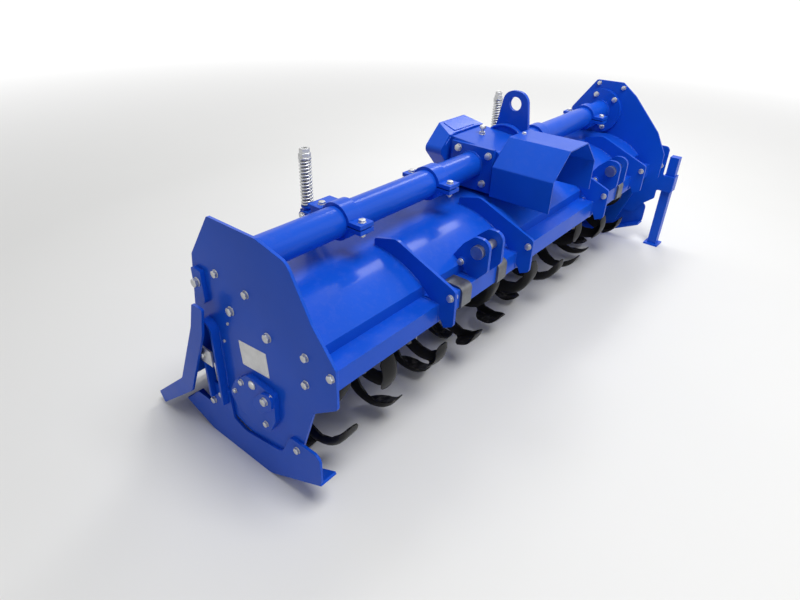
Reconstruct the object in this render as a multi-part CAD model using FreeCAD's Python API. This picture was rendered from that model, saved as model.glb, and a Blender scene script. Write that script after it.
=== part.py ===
import FreeCAD
import Part
import math
import os

# Three-point rotavator, about 2.2 m wide, standing on its two skids and its parking leg.
# Frame: millimetres, +Z up, -Y towards the tractor, +X towards the gear case side.
# The origin is on the ground, in the middle of the machine's length and width.

V = FreeCAD.Vector

# Working width and end plates
right_plate_x = -1130.0
left_plate_x = 965.0
plate_t = 8.0
nose_front_y = -361.0
nose_top_z = 503.0
nose_low_z = 392.0

# Rotor
rotor_y = -60.0
rotor_z = 245.0
tip_r = 225.0
rotor_tube_d = 76.0
rotor_end_gap = 12.0
flange_count = 9
flange_pitch = 240.0
flange_first_x = -1042.0
flange_r = 112.0
flange_t = 10.0
flange_turn = 22.0
tines_per_flange = 6
tine_t = 9.0
tine_reach_x = 70.0
stub_d = 50.0
hub_t = 16.0
hub_floor = 5.0
boss_t = 8.0
side_hub_r = 115.0
side_hub_t = 10.0

# Front beam and hood
beam_y = -279.0
beam_z = 415.0
beam_side = 60.0
beam_wall = 6.0
hood_clear = 75.0
hood_t = 5.0
hood_gap = 6.0

# Round cross tube, its flanges and clamps
tube_y = -27.0
tube_z = 643.0
tube_d = 89.0
tube_wall = 7.0
tube_flange_t = 14.0
tube_flange_side = 170.0
disc_flange_r = 98.0
clamp_w = 52.0
clamp_wall = 10.0
clamp_gap = 4.0
clamp_ear = 40.0
clamp_ear_t = 12.0
clamp_xs = (-768.0, -366.0, 326.0, 791.0)

# Gearbox
gearbox_x = -20.0
gearbox_half_w = 100.0
gearbox_front_y = -126.0
gearbox_rear_y = 75.0
gearbox_top_z = 715.0
gearbox_low_z = 552.0
rear_cover_depth = 68.0
rear_cover_half_w = 161.0
rear_cover_flat_half = 78.0
rear_cover_top_z = 749.0
rear_cover_mid_z = 675.0
rear_cover_low_z = 586.0
rear_cover_fall = 25.0

# Input shaft and its shield
input_x = 0.0
input_z = 610.0
spline_d = 34.9
spline_root_d = 29.0
spline_width = 8.7
spline_count = 6
journal_r = 20.5
input_front_y = -268.0
input_cap_r = 50.0
input_cap_len = 22.0
input_gap = 0.5
shield_half_w = 156.0
shield_flat_half = 65.0
shield_top_z = 746.0
shield_shoulder_z = 664.0
shield_low_z = 560.0
shield_front_y = -350.0
shield_t = 4.0

# Three-point hitch
gusset_xs = (-676.0, -250.0, 343.0, 740.0)
gusset_t = 10.0
hitch_xs = (-450.0, 512.0)
hitch_gap = 62.0
hitch_plate_t = 12.0
hitch_pin_y = -309.0
hitch_pin_z = 538.0
hitch_pin_d = 28.0
hitch_pin_over = 22.0
hitch_head_r = 21.0
hitch_head_t = 15.0
saddle_offset = 100.0
saddle_w = 50.0
saddle_t = 8.0
saddle_tail = 18.0
pin_clear = 0.05
top_lug_t = 14.0
top_lug_y = -46.0
top_lug_up = 171.0
top_lug_hole_d = 48.0
top_lug_r = 44.0

# Gear case on the left end
case_w = 125.0
case_cover_t = 8.0
case_inset = 10.0

# Trailing board
hinge_y = 120.0
hinge_z = 546.0
hinge_pin_d = 20.0
hinge_over = 12.0
hinge_stub_len = 160.0
hinge_lug_t = 12.0
hinge_lug_half = 20.0
hinge_lug_up = 37.0
hinge_lug_down = 65.0
barrel_wall = 8.0
board_t = 5.0
board_cheek_t = 8.0
board_band = 44.0
board_cheek_gap = 7.0
board_side_gap = 9.0
board_upper_z = 470.0
board_split_z = 345.0
knee_y = 240.0
knee_z = 190.0
board_rear_y = 408.0
board_tip_z = 44.0
board_slope_y = 132.0
board_slope_z = 421.0
cheek_top_y = 108.0
cheek_top_z = 500.0

# Spring rods
rod_xs = (-730.0, 315.0)
rod_clamps = (-768.0, 326.0)
trunnion_y = 153.0
trunnion_z = 592.0
eye_y = 153.0
eye_z = 442.0
rod_d = 16.0
rod_top_over = 196.0
trunnion_r = 17.0
trunnion_half = 15.0
trunnion_seat = 8.0
seat_r = 13.0
trunnion_pin_over = 3.0
trunnion_pin_r = 8.0
bracket_t = 8.0
cheek_gap = 1.0
cheek_t = 6.0
cheek_r = 16.0
spring_r = 19.0
spring_len = 140.0
washer_t = 5.0
nut_h = 14.0
nut_r = 15.0
eye_r = 19.0
eye_hole_r = 11.5
eye_w = 16.0
eye_pin_r = 8.0
eye_ear_gap = 3.0
eye_ear_t = 6.0

# Skids and their height straps
skid_t = 8.0
skid_flange_w = 55.0
skid_front_y = -300.0
skid_rear_y = 308.0
skid_rear_z = 46.0
skid_pivot_y = -217.0
skid_pivot_z = 176.0
skid_pivot_edge = 28.0
sole_half = 135.0
sole_y = 45.0
strap_y = 105.0
strap_w = 64.0
strap_depth = 25.0
strap_t = 8.0
strap_top_z = 440.0
strap_low_z = 165.0
skid_ear_z = 212.0
clip_w = 70.0
clip_h = 50.0
clip_t = 6.0
clip_back = 15.0
clip_z = 325.0

# Parking leg
leg_y = -373.0
leg_side = 42.0
leg_wall = 4.0
leg_top_z = 455.0
foot_side = 70.0
foot_t = 8.0
sleeve_low_z = 290.0
sleeve_h = 75.0
sleeve_wall = 6.0
sleeve_clear = 0.3
arm_t = 8.0

# Worked out from the values above
hood_r = tip_r + hood_clear
top_lug_z = tube_z + top_lug_up
case_x0 = left_plate_x + plate_t
case_x1 = case_x0 + case_w
case_outer_x = case_x1 + case_cover_t
arm_outer_x = case_outer_x + arm_t
leg_x = arm_outer_x + sleeve_wall + sleeve_clear + leg_side / 2
cheek_reach = strap_depth + clip_t + board_cheek_gap + board_cheek_t
board_right_x = right_plate_x - cheek_reach
board_left_x = arm_outer_x + cheek_reach
barrel_r = hinge_pin_d / 2 + barrel_wall

# Outlines as rows of (dy, dz, corner radius): the side plates from the rotor's centre below, from
# the board's hinge behind and from the cross tube above; the bearing housing from the rotor's centre.
plate_low_rows = ((-152, -112, 25), (-26, -133, 50), (44, -141, 50), (112, -123, 40), (174, -83, 20))
plate_hinge_rows = ((4, -220, 0), (52, -94, 10))
right_top_rows = ((172, -29, 8), (79, 99, 8), (-96, 99, 30), (-195, 75, 40), (-263, -50, 40))
left_top_rows = ((141, -5, 20), (42, 132, 12), (-81, 135, 12), (-150, 86, 20), (-283, -51, 40))
hub_rows = ((104, -17, 25), (68, 46, 30), (15, 88, 30), (-91, 80, 14), (-88, -10, 30), (-59, -64, 30),
            (0, -76, 50), (70, -50, 40))
boss_rows = ((-13, 9, 8), (-17, 36, 6), (-48, 69, 8), (-91, 80, 14), (-87, 36, 8), (-37, -6, 10))


def save(shape, node):
    shape.exportStep("parts/" + node + ".step")


def box(x0, x1, y0, y1, z0, z1):
    return Part.makeBox(x1 - x0, y1 - y0, z1 - z0, V(x0, y0, z0))


def cyl_x(r, x0, x1, y, z):
    return Part.makeCylinder(r, x1 - x0, V(x0, y, z), V(1, 0, 0))


def cyl_y(r, y0, y1, x, z):
    return Part.makeCylinder(r, y1 - y0, V(x, y0, z), V(0, 1, 0))


def cyl_z(r, z0, z1, x, y):
    return Part.makeCylinder(r, z1 - z0, V(x, y, z0), V(0, 0, 1))


def fuse(shapes):
    whole = shapes[0].multiFuse(shapes[1:])
    return whole.removeSplitter()


def rounded_wire(points):
    # Each point is (u, v, corner radius); a radius of 0 keeps the corner sharp.
    count = len(points)
    edges = []
    ends = []
    for i in range(count):
        here = V(points[i][0], points[i][1], 0)
        before = V(points[i - 1][0], points[i - 1][1], 0)
        after = V(points[(i + 1) % count][0], points[(i + 1) % count][1], 0)
        radius = points[i][2]
        if radius <= 0:
            ends.append((here, here, None))
            continue
        back = (before - here).normalize()
        ahead = (after - here).normalize()
        half = back.getAngle(ahead) / 2
        reach = radius / math.tan(half)
        middle = (back + ahead).normalize() * (radius / math.sin(half) - radius)
        ends.append((here + back * reach, here + ahead * reach, here + middle))
    for i in range(count):
        start, stop, middle = ends[i]
        if middle is not None:
            edges.append(Part.Arc(start, middle, stop).toShape())
        following = ends[(i + 1) % count][0]
        if (following - stop).Length > 1e-6:
            edges.append(Part.LineSegment(stop, following).toShape())
    return Part.Wire(edges)


def plate_yz(points, x0, x1):
    # Outline in (y, z, corner radius), as thick as x0 to x1.
    wire = rounded_wire(points)
    wire.transformShape(FreeCAD.Matrix(0, 0, 1, x0, 1, 0, 0, 0, 0, 1, 0, 0, 0, 0, 0, 1))
    return Part.Face(wire).extrude(V(x1 - x0, 0, 0))


def plate_xz(points, y0, y1):
    # Outline in (x, z, corner radius), as thick as y0 to y1.
    wire = rounded_wire(points)
    wire.transformShape(FreeCAD.Matrix(1, 0, 0, 0, 0, 0, 1, y0, 0, 1, 0, 0, 0, 0, 0, 1))
    return Part.Face(wire).extrude(V(0, y1 - y0, 0))


def arc_band(r0, r1, a0, a1, x0, x1, y, z):
    # Part of a ring about a line along X; angles in degrees from +Y towards +Z.
    def at(r, a):
        return V(x0, y + r * math.cos(math.radians(a)), z + r * math.sin(math.radians(a)))
    middle = (a0 + a1) / 2
    edges = [
        Part.Arc(at(r0, a0), at(r0, middle), at(r0, a1)).toShape(),
        Part.LineSegment(at(r0, a1), at(r1, a1)).toShape(),
        Part.Arc(at(r1, a1), at(r1, middle), at(r1, a0)).toShape(),
        Part.LineSegment(at(r1, a0), at(r0, a0)).toShape(),
    ]
    return Part.Face(Part.Wire(edges)).extrude(V(x1 - x0, 0, 0))


def around(y, z, rows):
    # Rows of (dy, dz, corner radius) counted from the point (y, z).
    return [(y + dy, z + dz, r) for dy, dz, r in rows]


def side_outline(top_rows):
    # From the lower front corner back under the rotor, up past the hinge, over the tube to the nose.
    low = around(rotor_y, rotor_z, plate_low_rows)
    rear = around(hinge_y, hinge_z, plate_hinge_rows)
    top = around(tube_y, tube_z, top_rows)
    nose = [
        (nose_front_y, nose_top_z, 12.0),
        (nose_front_y, nose_low_z, 12.0),
        (beam_y, beam_z - beam_side / 2 - 52.0, 30.0),
    ]
    return low + rear + top + nose


def right_end_plate():
    plate = plate_yz(side_outline(right_top_rows), right_plate_x, right_plate_x + plate_t)
    plate = plate.cut(cyl_x(stub_d / 2 + 6, right_plate_x - 1, right_plate_x + plate_t + 1, rotor_y, rotor_z))
    return plate.cut(cyl_x(hinge_pin_d / 2, right_plate_x - 1, right_plate_x + plate_t + 1, hinge_y, hinge_z))


def left_side_plate():
    plate = plate_yz(side_outline(left_top_rows), left_plate_x, left_plate_x + plate_t)
    plate = plate.cut(cyl_x(stub_d / 2 + 6, left_plate_x - 1, left_plate_x + plate_t + 1, rotor_y, rotor_z))
    return plate.cut(cyl_x(hinge_pin_d / 2, left_plate_x - 1, left_plate_x + plate_t + 1, hinge_y, hinge_z))


def case_outline(inset):
    # Pear-shaped case: wide round the rotor's gear below and round the cross tube above.
    low = around(rotor_y, rotor_z, (
        (inset - 120, -15, 0), (inset - 90, inset - 95, 60), (0, inset - 133, 60),
        (90 - inset, inset - 95, 60), (122 - inset, 0, 0)))
    top = around(tube_y, tube_z, (
        (110 - inset, -10, 30), (40, 88 - inset, 16), (-45, 90 - inset, 16),
        (inset - 115, 35 - inset / 2, 30)))
    return low + top


def gear_case():
    return plate_yz(case_outline(case_inset), case_x0, case_x1)


def gear_case_cover():
    return plate_yz(case_outline(0.0), case_x1, case_outer_x)


def front_beam():
    x0 = right_plate_x + plate_t
    half = beam_side / 2
    outer = box(x0, left_plate_x, beam_y - half, beam_y + half, beam_z - half, beam_z + half)
    inner_half = half - beam_wall
    inner = box(x0 - 1, left_plate_x + 1, beam_y - inner_half, beam_y + inner_half,
                beam_z - inner_half, beam_z + inner_half)
    return outer.cut(inner)


def hood():
    # A skirt down the beam's rear face, an arc over the rotor and a flat top back to the hinge.
    front_y = beam_y + beam_side / 2
    front_z = rotor_z + math.sqrt(hood_r ** 2 - (front_y - rotor_y) ** 2)
    front_angle = math.degrees(math.atan2(front_z - rotor_z, front_y - rotor_y))
    x0 = right_plate_x + plate_t
    top_z = rotor_z + hood_r
    skirt = box(x0, left_plate_x, front_y, front_y + hood_t, beam_z, front_z)
    arc = arc_band(hood_r - hood_t, hood_r, 90.0, front_angle, x0, left_plate_x, rotor_y, rotor_z)
    top = box(x0, left_plate_x, rotor_y, hinge_y - barrel_r - hood_gap, top_z - hood_t, top_z)
    return fuse([skirt, arc, top])


def gusset(x):
    # A gusset stands on the hood, wraps the beam and ends in a nose in front of it.
    half = beam_side / 2
    top_z = rotor_z + hood_r
    outline = [
        (nose_front_y, nose_low_z, 14.0),
        (beam_y - 19.0, beam_z - half - 25.0, 20.0),
        (beam_y + half + 11.0, beam_z - half - 25.0, 10.0),
        (beam_y + half + 60.0, beam_z + half, 0.0),
        (rotor_y - 10.0, top_z - 60.0, 0.0),
        (rotor_y - 10.0, top_z + 25.0, 10.0),
        (rotor_y - 90.0, top_z + 45.0, 40.0),
        (nose_front_y, nose_top_z, 14.0),
    ]
    plate = plate_yz(outline, x - gusset_t / 2, x + gusset_t / 2)
    plate = plate.cut(cyl_x(hood_r, x - gusset_t, x + gusset_t, rotor_y, rotor_z))
    return plate.cut(box(x - gusset_t, x + gusset_t, beam_y - half, beam_y + half,
                         beam_z - half, beam_z + half))


def hitch_bracket(x):
    # Two ears on a base plate on top of the beam; their rear edges sit on the hood.
    base_z = beam_z + beam_side / 2
    front_y = hitch_pin_y - 33.0
    top_z = hitch_pin_z + 40.0
    outline = [
        (beam_y - beam_side / 2, base_z, 0.0),
        (beam_y + beam_side / 2 + 46.0, base_z, 0.0),
        (beam_y + beam_side / 2 + 46.0, base_z + 28.0, 10.0),
        (hitch_pin_y + 55.0, hitch_pin_z + 9.0, 40.0),
        (hitch_pin_y + 19.0, top_z, 25.0),
        (front_y, top_z, 30.0),
        (front_y, hitch_pin_z - 58.0, 20.0),
    ]
    ears = []
    for near in (-1, 1):
        inner = x + near * hitch_gap / 2
        outer = inner + near * hitch_plate_t
        ears.append(plate_yz(outline, min(inner, outer), max(inner, outer)))
    half = hitch_gap / 2 + hitch_plate_t
    base = box(x - half, x + half, beam_y - beam_side / 2, beam_y + beam_side / 2, base_z, base_z + 10.0)
    bracket = fuse(ears + [base])
    x0 = x - half - 1
    x1 = x + half + 1
    bracket = bracket.cut(cyl_x(hood_r, x0, x1, rotor_y, rotor_z))
    return bracket.cut(cyl_x(hitch_pin_d / 2 + pin_clear, x0, x1, hitch_pin_y, hitch_pin_z))


def hitch_pin(x):
    # Turned pin with a flat head on its right end.
    half = hitch_gap / 2 + hitch_plate_t
    pin = cyl_x(hitch_pin_d / 2, x - half, x + half + hitch_pin_over, hitch_pin_y, hitch_pin_z)
    head = cyl_x(hitch_head_r, x - half - hitch_head_t, x - half, hitch_pin_y, hitch_pin_z)
    return fuse([pin, head])


def hitch_saddle(x):
    # Bare flat bar bent over the front of the beam and open behind.
    half = beam_side / 2
    outer = plate_yz([
        (beam_y - half - saddle_t, beam_z - half - saddle_t, 16.0),
        (beam_y + half - saddle_tail, beam_z - half - saddle_t, 0.0),
        (beam_y + half - saddle_tail, beam_z, 0.0),
        (beam_y + half, beam_z, 0.0),
        (beam_y + half, beam_z + half + saddle_t, 0.0),
        (beam_y - half - saddle_t, beam_z + half + saddle_t, 20.0),
    ], x - saddle_w / 2, x + saddle_w / 2)
    return outer.cut(box(x - saddle_w, x + saddle_w, beam_y - half, beam_y + half + 1,
                         beam_z - half, beam_z + half))


gearbox_x0 = gearbox_x - gearbox_half_w
gearbox_x1 = gearbox_x + gearbox_half_w


def cross_tube_right():
    x0 = right_plate_x + plate_t
    x1 = gearbox_x0
    tube = cyl_x(tube_d / 2, x0, x1, tube_y, tube_z)
    side = tube_flange_side / 2
    flange = box(x1 - tube_flange_t, x1, tube_y - side, tube_y + side, tube_z - side, gearbox_top_z - 4.0)
    end = box(x0, x0 + tube_flange_t, tube_y - side, tube_y + side, tube_z - side, tube_z + side)
    whole = fuse([tube, flange, end])
    return whole.cut(cyl_x(tube_d / 2 - tube_wall, x0 - 1, x1 + 1, tube_y, tube_z))


def cross_tube_left():
    x0 = gearbox_x1
    tube = cyl_x(tube_d / 2, x0, left_plate_x, tube_y, tube_z)
    flange = cyl_x(disc_flange_r, x0, x0 + tube_flange_t, tube_y, tube_z)
    end = cyl_x(disc_flange_r, left_plate_x - tube_flange_t, left_plate_x, tube_y, tube_z)
    whole = fuse([tube, flange, end])
    return whole.cut(cyl_x(tube_d / 2 - tube_wall, x0 - 1, left_plate_x + 1, tube_y, tube_z))


def tube_clamp(x):
    # Two half collars with bolted ears in front and behind.
    r = tube_d / 2
    halves = []
    for up in (-1, 1):
        ring = cyl_x(r + clamp_wall, x - clamp_w / 2, x + clamp_w / 2, tube_y, tube_z)
        ear_y = r + clamp_wall + clamp_ear
        z0 = tube_z + up * clamp_gap / 2
        z1 = z0 + up * clamp_ear_t
        ears = box(x - clamp_w / 2, x + clamp_w / 2, tube_y - ear_y, tube_y + ear_y, min(z0, z1), max(z0, z1))
        half = fuse([ring, ears]).cut(cyl_x(r, x - clamp_w, x + clamp_w, tube_y, tube_z))
        z_far = tube_z - up * 200.0
        keep = box(x - clamp_w, x + clamp_w, tube_y - 200, tube_y + 200, min(z0, z_far), max(z0, z_far))
        halves.append(half.cut(keep))
    return halves


def gearbox_housing():
    outline = [
        (gearbox_front_y, gearbox_low_z + 30.0, 20.0),
        (gearbox_front_y + 40.0, gearbox_low_z, 20.0),
        (gearbox_rear_y, gearbox_low_z, 10.0),
        (gearbox_rear_y, gearbox_top_z + 6.0, 8.0),
        (gearbox_front_y, gearbox_top_z - 12.0, 12.0),
    ]
    body = plate_yz(outline, gearbox_x0, gearbox_x1)
    return body.cut(cyl_y(input_cap_r, gearbox_front_y - 1, gearbox_front_y + 6.0, input_x, input_z))


def gearbox_rear_cover():
    # Six-sided cover whose top falls forward to the housing.
    rear_y = gearbox_rear_y + rear_cover_depth
    outline = [
        (gearbox_x - rear_cover_flat_half, rear_cover_top_z, 0.0),
        (gearbox_x + rear_cover_flat_half, rear_cover_top_z, 0.0),
        (gearbox_x + rear_cover_half_w, rear_cover_mid_z, 20.0),
        (gearbox_x + rear_cover_flat_half, rear_cover_low_z, 14.0),
        (gearbox_x - rear_cover_flat_half, rear_cover_low_z, 14.0),
        (gearbox_x - rear_cover_half_w, rear_cover_mid_z, 20.0),
    ]
    cover = plate_xz(outline, gearbox_rear_y, rear_y)
    above = plate_yz([
        (gearbox_rear_y, rear_cover_top_z - rear_cover_fall, 0.0),
        (rear_y, rear_cover_top_z, 0.0),
        (gearbox_rear_y, rear_cover_top_z, 0.0),
    ], gearbox_x - rear_cover_half_w, gearbox_x + rear_cover_half_w)
    return cover.cut(above)


def input_cap():
    cap = cyl_y(input_cap_r, gearbox_front_y - input_cap_len, gearbox_front_y + 6.0, input_x, input_z)
    return cap.cut(cyl_y(journal_r + pin_clear, gearbox_front_y - input_cap_len - 1, gearbox_front_y + 7.0,
                         input_x, input_z))


def input_shaft():
    # Six-spline stub that starts inside its bearing cap.
    rear = gearbox_front_y + 6.0 - input_gap
    core = cyl_y(spline_root_d / 2, input_front_y, rear, input_x, input_z)
    journal = cyl_y(journal_r, gearbox_front_y - input_cap_len - 6.0, rear, input_x, input_z)
    parts = [core, journal]
    tooth = box(input_x - spline_width / 2, input_x + spline_width / 2, input_front_y,
                gearbox_front_y - input_cap_len, input_z, input_z + spline_d / 2)
    for i in range(spline_count):
        copy = tooth.copy()
        copy.rotate(V(input_x, 0, input_z), V(0, 1, 0), 360.0 * i / spline_count)
        parts.append(copy)
    whole = fuse(parts)
    limit = cyl_y(spline_d / 2, input_front_y, gearbox_front_y - input_cap_len - 6.0, input_x, input_z)
    return fuse([whole.common(limit), journal])


def shaft_shield():
    def section(inset):
        half = shield_half_w - inset
        flat = shield_flat_half - inset * 0.4
        low = shield_low_z - (0 if inset == 0 else 1)
        return [
            (input_x - half, low, 0.0),
            (input_x - half, shield_shoulder_z, 6.0),
            (input_x - flat, shield_top_z - inset, 6.0),
            (input_x + flat, shield_top_z - inset, 6.0),
            (input_x + half, shield_shoulder_z, 6.0),
            (input_x + half, low, 0.0),
        ]
    outer = plate_xz(section(0.0), shield_front_y, gearbox_front_y)
    inner = plate_xz(section(shield_t), shield_front_y - 1, gearbox_front_y - shield_t)
    shell = outer.cut(inner)
    hole = cyl_y(input_cap_r + 1.0, gearbox_front_y - shield_t - 1, gearbox_front_y + 1, input_x, input_z)
    return shell.cut(hole)


def top_link_lug():
    x0 = gearbox_x1 + tube_flange_t
    waist_z = tube_z + top_lug_up * 0.58
    outline = [
        (tube_y - 92.0, tube_z, 10.0),
        (tube_y + 88.0, tube_z, 10.0),
        (tube_y + 46.0, waist_z, 40.0),
        (top_lug_y + top_lug_r, top_lug_z + top_lug_r, top_lug_r - 1),
        (top_lug_y - top_lug_r, top_lug_z + top_lug_r, top_lug_r - 1),
        (tube_y - 80.0, waist_z, 40.0),
    ]
    lug = plate_yz(outline, x0, x0 + top_lug_t)
    lug = lug.cut(cyl_x(tube_d / 2, x0 - 1, x0 + top_lug_t + 1, tube_y, tube_z))
    return lug.cut(cyl_x(top_lug_hole_d / 2, x0 - 1, x0 + top_lug_t + 1, top_lug_y, top_lug_z))


def spring_bracket(rod_x, clamp_x):
    # A base plate on the clamp's rear ears carries two cheeks that hold the trunnion.
    top = tube_z + clamp_gap / 2 + clamp_ear_t
    ear_y0 = tube_y + tube_d / 2 + clamp_wall + 4.0
    ear_y1 = tube_y + tube_d / 2 + clamp_wall + clamp_ear
    inner = trunnion_half + cheek_gap
    x_low = min(clamp_x - clamp_w / 2, rod_x - inner - cheek_t)
    x_high = max(clamp_x + clamp_w / 2, rod_x + inner + cheek_t)
    cheek_y = ear_y1 + 1.0
    parts = [box(x_low, x_high, ear_y0, cheek_y + 12.0, top, top + bracket_t)]
    outline = [
        (cheek_y, top - 30.0, 8.0),
        (trunnion_y - 10.0, trunnion_z - cheek_r, 8.0),
        (trunnion_y + cheek_r, trunnion_z - cheek_r, 15.0),
        (trunnion_y + cheek_r, trunnion_z + cheek_r, 15.0),
        (trunnion_y - 28.0, trunnion_z + cheek_r, 0.0),
        (cheek_y + 12.0, top + bracket_t, 0.0),
        (cheek_y, top + bracket_t, 0.0),
    ]
    for side in (-1, 1):
        near = rod_x + side * inner
        far = near + side * cheek_t
        parts.append(plate_yz(outline, min(near, far), max(near, far)))
    whole = fuse(parts)
    return whole.cut(cyl_x(trunnion_pin_r + pin_clear, rod_x - 40, rod_x + 40, trunnion_y, trunnion_z))


def trunnion(rod_x):
    body = box(rod_x - trunnion_half, rod_x + trunnion_half, trunnion_y - trunnion_r, trunnion_y + trunnion_r,
               trunnion_z - trunnion_r, trunnion_z + trunnion_r)
    end = trunnion_half + cheek_gap + cheek_t + trunnion_pin_over
    pins = cyl_x(trunnion_pin_r, rod_x - end, rod_x + end, trunnion_y, trunnion_z)
    seat_z = trunnion_z + trunnion_r + trunnion_seat
    seat = cyl_z(seat_r, trunnion_z, seat_z, rod_x, trunnion_y)
    washer = cyl_z(spring_r, seat_z, seat_z + washer_t, rod_x, trunnion_y)
    whole = fuse([body, pins, seat, washer])
    bore = cyl_z(rod_d / 2 + pin_clear, trunnion_z - 60, trunnion_z + 60, rod_x, trunnion_y)
    return whole.cut(bore)


spring_low_z = trunnion_z + trunnion_r + trunnion_seat + washer_t
spring_high_z = spring_low_z + spring_len


def spring_sleeve(rod_x):
    outer = cyl_z(spring_r, spring_low_z, spring_high_z, rod_x, trunnion_y)
    return outer.cut(cyl_z(rod_d / 2 + 5.0, spring_low_z - 1, spring_high_z + 1, rod_x, trunnion_y))


def hexagon_z(r, z0, z1, x, y):
    points = []
    for i in range(6):
        a = math.radians(60.0 * i)
        points.append(V(x + r * math.cos(a), y + r * math.sin(a), z0))
    points.append(points[0])
    return Part.Face(Part.makePolygon(points)).extrude(V(0, 0, z1 - z0))


def spring_rod(rod_x):
    nut_z = spring_high_z + washer_t
    rod = cyl_z(rod_d / 2, eye_z + eye_r - 4.0, trunnion_z + rod_top_over, rod_x, trunnion_y)
    washer = cyl_z(spring_r, spring_high_z, nut_z, rod_x, trunnion_y)
    nut = hexagon_z(nut_r, nut_z, nut_z + nut_h, rod_x, trunnion_y)
    eye = cyl_x(eye_r, rod_x - eye_w / 2, rod_x + eye_w / 2, eye_y, eye_z)
    whole = fuse([rod, washer, nut, eye])
    return whole.cut(cyl_x(eye_hole_r, rod_x - eye_w, rod_x + eye_w, eye_y, eye_z))


def slope_point(z):
    # The board's rear face as a straight line through its two measured points.
    share = (board_slope_z - z) / (board_slope_z - knee_z)
    return board_slope_y + share * (knee_y - board_slope_y)


lip_dy = board_rear_y - knee_y
lip_dz = board_tip_z - knee_z
lip_len = math.hypot(lip_dy, lip_dz)
slope_len = math.hypot(knee_y - board_slope_y, knee_z - board_slope_z)
slope_ny = (board_slope_z - knee_z) / slope_len
slope_nz = (knee_y - board_slope_y) / slope_len


def sheet_outline(top_z, with_lip):
    # The sheet lies in front of the rear face by its own thickness.
    iy = -board_t * slope_ny
    iz = -board_t * slope_nz
    lip_ny = -lip_dz / lip_len
    lip_nz = lip_dy / lip_len
    points = [(slope_point(top_z), top_z, 0.0)]
    if with_lip:
        points.append((knee_y, knee_z, 30.0))
        points.append((board_rear_y, board_tip_z, 0.0))
        points.append((board_rear_y - lip_ny * board_t, board_tip_z - lip_nz * board_t, 0.0))
        points.append((knee_y + iy - 1.0, knee_z - board_t - 1.0, 35.0))
    else:
        points.append((slope_point(board_split_z), board_split_z, 0.0))
        points.append((slope_point(board_split_z) + iy, board_split_z + iz, 0.0))
    points.append((slope_point(top_z) + iy, top_z + iz, 0.0))
    return points


def board_sheet():
    inner_x0 = right_plate_x + plate_t + board_side_gap
    inner_x1 = left_plate_x - board_side_gap
    lower = plate_yz(sheet_outline(board_split_z, True), board_right_x + board_cheek_t,
                     board_left_x - board_cheek_t)
    upper = plate_yz(sheet_outline(board_upper_z, False), inner_x0, inner_x1)
    barrel = cyl_x(barrel_r, inner_x0, inner_x1, hinge_y, hinge_z)
    link = plate_yz([
        (hinge_y - 4.0, hinge_z, 0.0),
        (slope_point(board_upper_z) - 8.0, board_upper_z - 6.0, 0.0),
        (slope_point(board_upper_z), board_upper_z - 1.0, 0.0),
        (hinge_y + 4.0, hinge_z, 0.0),
    ], inner_x0, inner_x1)
    whole = fuse([lower, upper, link, barrel])
    return whole.cut(cyl_x(hinge_pin_d / 2 + pin_clear, inner_x0 - 1, inner_x1 + 1, hinge_y, hinge_z))


def board_cheek(x0, x1):
    # Bent band beside the sheet, outside the height strap, down to the trailing lip.
    band = board_band
    outline = [
        (cheek_top_y, cheek_top_z, 6.0),
        (board_slope_y, board_slope_z, 60.0),
        (knee_y, knee_z, 24.0),
        (board_rear_y, board_tip_z, 6.0),
        (board_rear_y - 20.0, board_tip_z - 36.0, 6.0),
        (knee_y - band, knee_z - 26.0, 24.0),
        (board_slope_y - band * 1.06, board_slope_z - 12.0, 60.0),
        (cheek_top_y - band, cheek_top_z, 6.0),
    ]
    return plate_yz(outline, x0, x1)


def board_eye_lug(rod_x):
    # Two ears on the board with the pin that the spring rod's eye hangs on.
    parts = []
    base_y = slope_point(eye_z)
    outline = [
        (slope_point(eye_z + 14.0), eye_z + 14.0, 0.0),
        (eye_y, eye_z + 15.0, 14.0),
        (eye_y + 15.0, eye_z, 12.0),
        (eye_y, eye_z - 15.0, 14.0),
        (slope_point(eye_z - 40.0), eye_z - 40.0, 0.0),
    ]
    inner = eye_w / 2 + eye_ear_gap
    for side in (-1, 1):
        near = rod_x + side * inner
        far = near + side * eye_ear_t
        parts.append(plate_yz(outline, min(near, far), max(near, far)))
    end = inner + eye_ear_t + 4.0
    parts.append(cyl_x(eye_pin_r, rod_x - end, rod_x + end, eye_y, eye_z))
    return fuse(parts)


def hinge_rod():
    # From outside the right lug, through the end plate and most of the board's long barrel.
    x0 = right_plate_x - hinge_lug_t - hinge_over
    return cyl_x(hinge_pin_d / 2, x0, left_plate_x - hinge_stub_len, hinge_y, hinge_z)


def hinge_stub():
    x1 = left_plate_x + plate_t + hinge_lug_t + hinge_over
    return cyl_x(hinge_pin_d / 2, left_plate_x - hinge_stub_len + 2.0, x1, hinge_y, hinge_z)


def hinge_lug(face_x, outward):
    # Upright flat bar with a rounded lower end on the outside of the side plate.
    x0, x1 = sorted((face_x, face_x + outward * hinge_lug_t))
    half = hinge_lug_half
    outline = [
        (hinge_y - half, hinge_z - hinge_lug_down, half - 1),
        (hinge_y + half, hinge_z - hinge_lug_down, half - 1),
        (hinge_y + half, hinge_z + hinge_lug_up, 6.0),
        (hinge_y - half, hinge_z + hinge_lug_up, 6.0),
    ]
    lug = plate_yz(outline, x0, x1)
    return lug.cut(cyl_x(hinge_pin_d / 2, x0 - 1, x1 + 1, hinge_y, hinge_z))


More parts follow.
